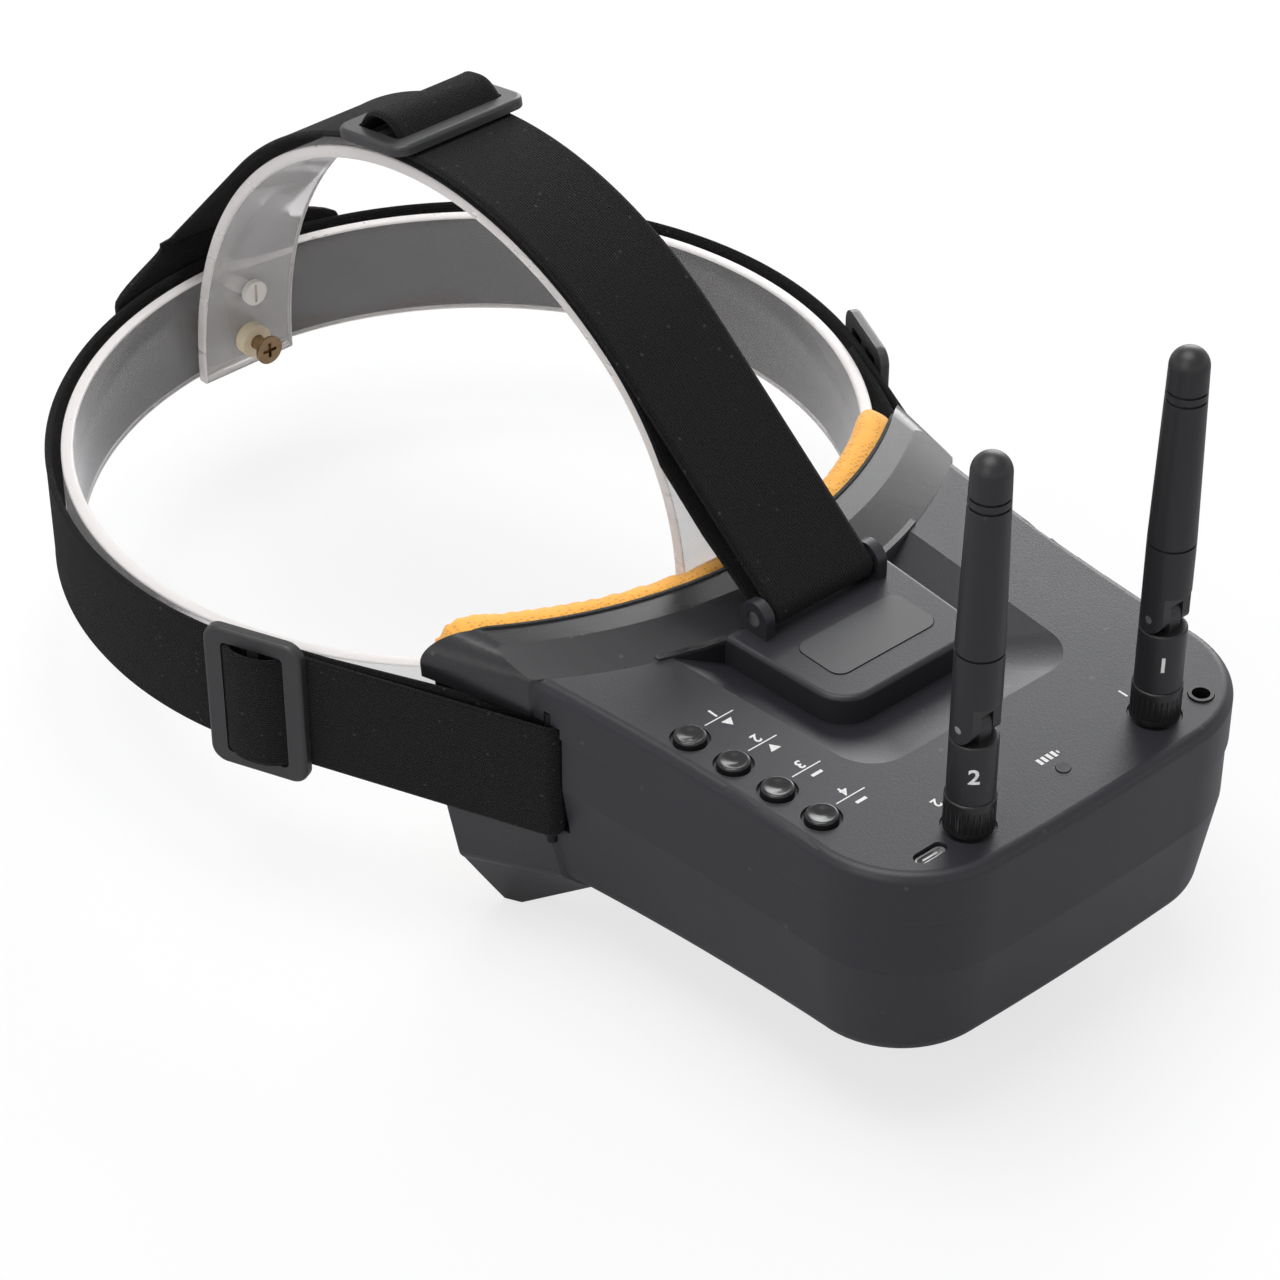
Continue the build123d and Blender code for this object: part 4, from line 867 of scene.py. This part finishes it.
def hump_profile(rise):
    """Along and up: a smooth arch that starts and ends below the slider's outer bars."""
    shares = [-1 + 2 * i / HUMP_STEPS for i in range(HUMP_STEPS + 1)]
    return [(share * HUMP_HALF, rise * (1 - abs(share) ** 2.6)) for share in shares]


def build_hump(name, origin, along, out, across, body, rise):
    line = [origin + along * x + out * y for x, y in hump_profile(rise)]
    section = band_section(WIDE - 0.4 * MM, 0.12 * MM)
    hump = swept_band("hump_" + name, line, across, section)
    fit(hump, body, "strap_webbing", "strap_hump_" + name)


def build_side_humps():
    for name, side in SIDES:
        middle = beside_strap(SLIDER_AT + SLIDER_LONG / 2, THICK / 2 + HUMP_LIFT)
        origin = Vector((side * middle[0], middle[1], STRAP_LEVEL))
        along = Vector((side * SIDE_ALONG[0], SIDE_ALONG[1], 0))
        out = Vector((side * SIDE_NORMAL[0], SIDE_NORMAL[1], 0))
        build_hump(name, origin, along, out, UP * -side, "side_slider_" + name,
                   HUMP_RISE * SIDE_HUMP_SHARE)


def build_crown_hump():
    turn = math.radians(SLIDER_LEAN)
    out = Vector((0, math.sin(turn), math.cos(turn)))
    along = Vector((0, math.cos(turn), -math.sin(turn)))
    radius = ARCH_RADIUS + STRAP_LIFT + THICK / 2 + HUMP_LIFT
    origin = Vector((0, CROWN_CENTRE[0], CROWN_CENTRE[1])) + out * radius
    build_hump("crown", origin, along, out, SIDEWAYS * -1, "crown_slider", HUMP_RISE)


build_side_humps()
build_crown_hump()

# %% [markdown]
# ## Clear former
# The ring and the arch are strips cut from thick clear sheet. A rounded rectangle swept
# along a circle gives the ring, and the same section along the arch's own line gives the
# arch. Faces that look sideways out of the strip are sawn edges and get the milky finish.

# %% Sweep a clear strip
STRIP_THICK = 3 * MM
STRIP_CORNER = 0.5 * MM


def strip_section(width):
    """A rounded rectangle as (across, out) points, four to each corner."""
    points = []
    for sx, sy, start in ((1, 1, 0), (-1, 1, 90), (-1, -1, 180), (1, -1, 270)):
        centre = (sx * (width / 2 - STRIP_CORNER), sy * (STRIP_THICK / 2 - STRIP_CORNER))
        points += [on_circle(centre, STRIP_CORNER, start + 30 * k) for k in range(4)]
    return points


def swept_strip(name, line, across, width, closed, sheet):
    """A strip with milky sawn edges, either an open run or a closed loop."""
    shape = bmesh.new()
    section = strip_section(width)
    rings = [ring for ring, along in rings_along(shape, line, across, section, closed)]
    size = len(section)
    for first, second in zip(rings, rings[1:] + (rings[:1] if closed else [])):
        for i in range(size):
            j = (i + 1) % size
            face = shape.faces.new((first[i], first[j], second[j], second[i]))
            middle = (section[i][0] + section[j][0]) / 2
            face.material_index = 1 if abs(middle) > width / 2 - STRIP_CORNER * 0.9 else 0
            face.smooth = True
    if not closed:
        for ring in (rings[0][::-1], rings[-1]):
            shape.faces.new(ring).material_index = 1
    return new_object(name, close_shape(shape, name, sheet, MILKY))


# %% Ring and arch


def build_ring():
    circle = arc(RING_CENTRE, RING_RADIUS - STRIP_THICK / 2, 0, 360, 0.003)[:-1]
    ring = swept_strip("clear_band", level_line(circle), UP, ring_high.z - ring_low.z, True, CLEAR)
    fit(ring, "goggles", "clear_plastic", "clear_ring")


def build_arch():
    bend, change = arch_bend()
    inside = STRIP_THICK / 2
    front = run((arch_low.y + inside, arch_low.z), (arch_low.y + inside, bend[1]))
    corner = arc(bend, CORNER_RADIUS - inside, 180, change)
    over = arc(CROWN_CENTRE, ARCH_RADIUS - inside, change, 0)
    rear = run(over[-1], (over[-1][0], arch_low.z))
    line = upright_line(joined(front, corner, over, rear))
    # The arch wears the brightened copy of the clear plastic: painted light.
    arch = swept_strip("clear_strip_arch", line, SIDEWAYS, arch_high.x - arch_low.x, False, BRIGHTENED_CLEAR)
    fit(arch, "goggles", "clear_plastic", "clear_arch")


build_ring()
build_arch()

# %% [markdown]
# ## Face pad
# The pad is a foam ring in a mesh sleeve. It starts as a copy of the CAD foam, is remeshed
# into even small faces, and is then blown up a little as cloth under pressure, so that its
# sides swell between the places where the frame holds it. The swelling is capped.

# %% Blow up the pad
PAD_VOXEL = 1.6 * MM
PAD_SWELL = 0.7 * MM
PAD_FULLER = 3.2
PAD_CAP = 1.1 * MM


def coordinates(mesh, kind="co"):
    found = np.empty(len(mesh.vertices) * 3)
    mesh.vertices.foreach_get(kind, found)
    return found.reshape(-1, 3)


def clear_of_former(spots):
    """Moves points of the pad out of the ring and away from the foot of the arch."""
    gap = 0.15 * MM
    away = spots[:, :2] - np.array(RING_CENTRE)
    far = np.linalg.norm(away, axis=1)
    level = (spots[:, 2] > ring_low.z - gap) & (spots[:, 2] < ring_high.z + gap)
    inside = level & (far < RING_RADIUS + gap)
    pushed = away[inside] * ((RING_RADIUS + gap) / far[inside])[:, None]
    spots[inside, :2] = np.array(RING_CENTRE) + pushed
    foot = (abs(spots[:, 0]) < arch_high.x + gap) & (spots[:, 2] > arch_low.z - gap)
    spots[foot, 1] = np.minimum(spots[foot, 1], arch_low.y - gap)
    return spots


def swelling(spots, normals):
    """How far each point moves outwards: most above the ring, on the side towards the head."""
    inwards = np.array(RING_CENTRE) - spots[:, :2]
    inwards /= np.linalg.norm(inwards, axis=1)[:, None]
    facing = np.maximum(0.0, (normals[:, :2] * inwards).sum(axis=1))
    above = np.clip((spots[:, 2] - ring_high.z + 1 * MM) / (5 * MM), 0.0, 1.0)
    return PAD_SWELL * (1 + PAD_FULLER * facing * above)


def build_pad():
    pad = new_object("face_pad", nodes["face_foam"].data.copy())
    pad.data.name = "face_pad"
    modify(pad, "REMESH", mode="VOXEL", voxel_size=PAD_VOXEL)
    modify(pad, "SMOOTH", factor=0.5, iterations=6)
    start = coordinates(pad.data)
    normals = coordinates(pad.data, "normal")
    grown = start + normals * swelling(start, normals)[:, None]
    pad.data.vertices.foreach_set("co", grown.ravel())
    blow_up(pad, grown)
    modify(pad, "SUBSURF", levels=1)
    pad.data.vertices.foreach_set("co", clear_of_former(coordinates(pad.data)).ravel())
    pad.data.update()
    pad.data.polygons.foreach_set("use_smooth", [True] * len(pad.data.polygons))
    pad.data.materials.clear()
    pad.data.materials.append(COVER)
    fit(pad, "goggles", "foam_cover_fabric", "foam_cover", "face_foam")
    print("pad faces:", len(pad.data.polygons))


def blow_up(pad, start):
    cloth = pad.modifiers.new("cloth", "CLOTH")
    cloth.settings.use_pressure = True
    cloth.settings.uniform_pressure_force = 3.0
    cloth.settings.effector_weights.gravity = 0.0
    cloth.settings.quality = 5
    for step in range(1, 16):
        bpy.context.scene.frame_set(step)
    solved = pad.evaluated_get(bpy.context.evaluated_depsgraph_get())
    moved = coordinates(solved.to_mesh()) - start
    solved.to_mesh_clear()
    far = np.linalg.norm(moved, axis=1, keepdims=True)
    moved *= np.minimum(1.0, PAD_CAP / np.maximum(far, 1e-9))
    pad.modifiers.remove(cloth)
    bpy.context.scene.frame_set(1)
    pad.data.vertices.foreach_set("co", (start + moved).ravel())
    pad.data.update()


build_pad()

# %% [markdown]
# ## Rear patch
# Behind the head a stitched cloth panel joins the two side straps and the crown strap. It is
# two layers of webbing sewn round their edge, so it is thickest in the middle and its edge
# is drawn in along the stitches.

# %% Rear patch
PATCH_CORNER = 4 * MM
PATCH_NECK = 16.6 * MM
PATCH_SHOULDER = 0.76
PATCH_SLOPE = 0.2
PATCH_EDGE = 2.0 * MM
STITCH_AT = 2.6 * MM


def patch_half(up, full, high):
    """Half the panel's width at a height above its lower edge."""
    half = full
    if up < PATCH_CORNER:
        half -= PATCH_CORNER - math.sqrt(max(0.0, PATCH_CORNER**2 - (PATCH_CORNER - up) ** 2))
    share = min(1.0, max(0.0, (up / high - PATCH_SHOULDER) / PATCH_SLOPE))
    return half + (PATCH_NECK - full) * share * share * (3 - 2 * share)


def build_patch():
    shape = bmesh.new()
    cloth = shape.loops.layers.uv.new("cloth")
    radius = RING_RADIUS + STRAP_LIFT + THICK / 2 + 0.3 * MM
    full = math.asin(patch_high.x / (patch_high.y - RING_CENTRE[1])) * radius
    columns, rows = 64, 48
    high = patch_high.z - patch_low.z
    sheets = []
    for layer in (0, 1):
        grid = []
        for i in range(columns + 1):
            u = math.sin(math.pi / 2 * (-1 + 2 * i / columns))
            strip = []
            for j in range(rows + 1):
                up = high * (1 - math.cos(math.pi * j / rows)) / 2
                half = patch_half(up, full, high)
                edge_u = (1 - abs(u)) * half
                edge = min(edge_u, up, high - up)
                plump = min(1.0, edge / PATCH_EDGE)
                stitch = math.exp(-((edge - STITCH_AT) / (0.7 * MM)) ** 2)
                run_on = up if edge_u < min(up, high - up) else u * half
                ripple = 0.1 * MM * math.sin(run_on / MM * 1.9) * stitch
                thick = (0.35 + 2.0 * math.sqrt(plump * (2 - plump)) - 0.5 * stitch) * MM + ripple
                out = radius + (thick if layer else 0.35 * MM * (1 - plump))
                turn = u * half / radius
                spot = (out * math.sin(turn), RING_CENTRE[1] + out * math.cos(turn), patch_low.z + up)
                strip.append(shape.verts.new(spot))
            grid.append(strip)
        sheets.append(grid)

    def panel(corners, flip):
        face = shape.faces.new(corners[::-1] if flip else corners)
        for corner in face.loops:
            spot = corner.vert.co
            around = math.atan2(spot.x, spot.y - RING_CENTRE[1]) * radius
            corner[cloth].uv = (around / MM, (spot.z - patch_low.z) / MM)
        face.smooth = True

    for layer, grid in enumerate(sheets):
        for i in range(columns):
            for j in range(rows):
                panel((grid[i][j], grid[i + 1][j], grid[i + 1][j + 1], grid[i][j + 1]), not layer)
    # One row of faces round the rim joins the two sheets.
    inner, outer = sheets
    rim = [(i, 0) for i in range(columns)] + [(columns, j) for j in range(rows)]
    rim += [(i, rows) for i in range(columns, 0, -1)] + [(0, j) for j in range(rows, 0, -1)]
    for (i, j), (k, l) in zip(rim, rim[1:] + rim[:1]):
        panel((inner[i][j], inner[k][l], outer[k][l], outer[i][j]), False)
    patch = new_object("rear_panel", close_shape(shape, "patch", WEBBING))
    fit(patch, "goggles", "strap_webbing", "rear_patch")


build_patch()

# %% [markdown]
# ## Buttons
# Each button is a turned shape, so its outline is spun about its own axis. The cap has a
# rounded rim and a shallow dish for the fingertip, which is where it catches the light.

# %% Turned buttons
CAP_RADIUS = 3.5 * MM
FLANGE_RADIUS = 4.3 * MM
DISH = 0.45 * MM
RIM = 0.55 * MM
BUTTON_PROUD = 1.1 * MM
FLANGE_DEEP = 2.3 * MM
FLANGE_THICK = 0.8 * MM
STEM_RADIUS = 1.3 * MM


def spun(name, outline, axis, turns=56):
    """A closed shape from an outline of (radius, height) that starts and ends on the axis."""
    x, y = axis.xy
    shape = bmesh.new()
    first = shape.verts.new((x, y, outline[0][1]))
    last = shape.verts.new((x, y, outline[-1][1]))
    rings = []
    for radius, height in outline[1:-1]:
        rings.append([shape.verts.new((x + radius * math.cos(2 * math.pi * k / turns),
                                       y + radius * math.sin(2 * math.pi * k / turns), height))
                      for k in range(turns)])
    for k in range(turns):
        m = (k + 1) % turns
        shape.faces.new((first, rings[0][k], rings[0][m]))
        shape.faces.new((last, rings[-1][m], rings[-1][k]))
        for above, below in zip(rings, rings[1:]):
            shape.faces.new((above[k], below[k], below[m], above[m]))
    mesh = close_shape(shape, name, BUTTON)
    smooth_shading(mesh)
    return new_object(name, mesh)


def button_outline(low, top):
    inner = CAP_RADIUS - RIM
    line = [(0.0, top - DISH)]
    line += [(inner * k / 8, top - DISH * math.cos(math.pi / 2 * k / 8) ** 1.4) for k in range(1, 8)]
    line += [(inner + RIM * math.sin(math.radians(a)), top - RIM + RIM * math.cos(math.radians(a)))
             for a in range(0, 91, 15)]
    flange = top - BUTTON_PROUD - FLANGE_DEEP
    under = flange - FLANGE_THICK
    line += [(CAP_RADIUS, flange), (FLANGE_RADIUS, flange), (FLANGE_RADIUS, under)]
    return line + [(STEM_RADIUS, under), (STEM_RADIUS, low), (0.0, low)]


def build_buttons():
    for index in range(1, 5):
        node = f"button_{index}"
        low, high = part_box(node)
        button = spun("turned_" + node, button_outline(low.z, high.z), middle_of(node))
        fit(button, node, "button_plastic", node)


build_buttons()

# %% [markdown]
# ## Printed marks
# The real object carries printed words. Here their places hold plain numbers and simple
# shapes, each a thin raised film of white ink, read by the person who wears the goggles.

# %% Ink on the top face
INK = 0.04 * MM
ABOVE = 0.005 * MM
TOP_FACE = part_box("button_1")[1].z - BUTTON_PROUD


def ink(name, flat_shapes):
    """A thin film from flat polygons given as lists of (x, y)."""
    shape = bmesh.new()
    for polygon in flat_shapes:
        face = shape.faces.new([shape.verts.new((x, y, TOP_FACE + ABOVE)) for x, y in polygon])
        if face.normal.z < 0:
            face.normal_flip()
    shape.faces.ensure_lookup_table()
    raised = bmesh.ops.extrude_face_region(shape, geom=list(shape.faces))
    top = [part for part in raised["geom"] if isinstance(part, bmesh.types.BMVert)]
    bmesh.ops.translate(shape, vec=(0, 0, INK), verts=top)
    finish_ink(name, close_shape(shape, name))


def finish_ink(name, mesh, body="goggles"):
    mesh.materials.append(PRINT)
    fit(new_object(name, mesh), body, "white_plastic")


def digits(name, text, size):
    """A mesh of a number, a thin film round its own middle."""
    curve = bpy.data.curves.new(name, "FONT")
    curve.body = text
    curve.size = size
    curve.align_x = "CENTER"
    curve.align_y = "CENTER"
    curve.extrude = INK / 2
    curve.offset = size * 0.022
    holder = new_object(name + "_draft", curve)
    bpy.context.view_layer.update()
    solved = holder.evaluated_get(bpy.context.evaluated_depsgraph_get())
    solid = bpy.data.meshes.new_from_object(solved)
    bpy.data.objects.remove(holder)
    solid.materials.clear()
    solid.name = name
    spots = coordinates(solid)
    solid.transform(Matrix.Translation(-(spots.min(0) + spots.max(0)) / 2))
    return solid


def cut_upright(mesh, step):
    """Cuts a mesh along upright lines, so that it can be bent round a barrel."""
    shape = bmesh.new()
    shape.from_mesh(mesh)
    reach = max(abs(vertex.co.x) for vertex in shape.verts)
    for k in range(-int(reach / step), int(reach / step) + 1):
        whole = list(shape.verts) + list(shape.edges) + list(shape.faces)
        bmesh.ops.bisect_plane(shape, geom=whole, plane_co=(k * step, 0, 0), plane_no=(1, 0, 0))
    shape.to_mesh(mesh)
    shape.free()


def numeral(name, text, place, size):
    """A number that the wearer can read, so its top points away from the wearer."""
    solid = digits(name, text, size)
    shift = Matrix.Translation((*place, TOP_FACE + INK / 2 + ABOVE))
    solid.transform(shift @ Matrix.Rotation(math.pi, 4, "Z"))
    finish_ink(name, solid)


def bar_shape(x, y, length, width):
    low, high = y - width / 2, y + width / 2
    return [(x, low), (x + length, low), (x + length, high), (x, high)]


def triangle(x, y, size, up):
    foot = y - up * size * 0.75
    return [(x - size, foot), (x + size, foot), (x, y + up * size * 0.9)]


def button_marks():
    for index in range(1, 5):
        x, y = middle_of(f"button_{index}").xy
        start = x + 5.0 * MM
        shapes = [bar_shape(start, y + 1.1 * MM, 7.8 * MM, 0.3 * MM)]
        if index < 3:
            shapes.append(triangle(start + 4.6 * MM, y - 1.3 * MM, 1.35 * MM, -1 if index == 1 else 1))
        else:
            shapes.append(bar_shape(start + 3.2 * MM, y - 1.3 * MM, 2.8 * MM, 0.8 * MM))
        ink(f"mark_{index}", shapes)
        numeral(f"number_{index}", str(index), (start + 3.9 * MM, y + 3.0 * MM), 3.6 * MM)


button_marks()

# %% Marks near the light and the sockets


def mark_behind(name, node, text, away):
    x, y = middle_of(node).xy
    numeral(name, text, (x, y + away), 3.4 * MM)


def battery_mark():
    x, y = middle_of("status_light").xy
    y += 4.4 * MM
    cells = [bar_shape(x - 2.6 * MM + k * 1.35 * MM, y, 0.85 * MM, 1.9 * MM) for k in range(4)]
    cells.append(bar_shape(x + 2.8 * MM, y, 0.4 * MM, 0.9 * MM))
    ink("mark_charge", cells)


battery_mark()
mark_behind("number_right_antenna", "antenna_nut_right", "2", 9.0 * MM)
mark_behind("number_left_antenna", "antenna_nut_left", "1", 8.8 * MM)

# %% Numbers on the antennas
BARREL = 5.0 * MM
BARREL_SIZE = 5.0 * MM
BARREL_HEIGHT = 7.4 * MM
FACING = math.radians(228)


def barrel_number(side_name, text):
    """A number laid round an antenna's lower barrel."""
    node = "antenna_base_" + side_name
    centre = middle_of(node)
    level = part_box(node)[0].z + BARREL_HEIGHT
    solid = digits("number_barrel_" + side_name, text, BARREL_SIZE)
    cut_upright(solid, 0.3 * MM)
    radius = BARREL + INK / 2 + ABOVE
    for vertex in solid.vertices:
        x, y, z = vertex.co
        turn = FACING + x / radius
        vertex.co = (centre.x + (radius + z) * math.cos(turn),
                     centre.y + (radius + z) * math.sin(turn), level + y)
    finish_ink(solid.name, solid, node)


barrel_number("right", "2")
barrel_number("left", "1")
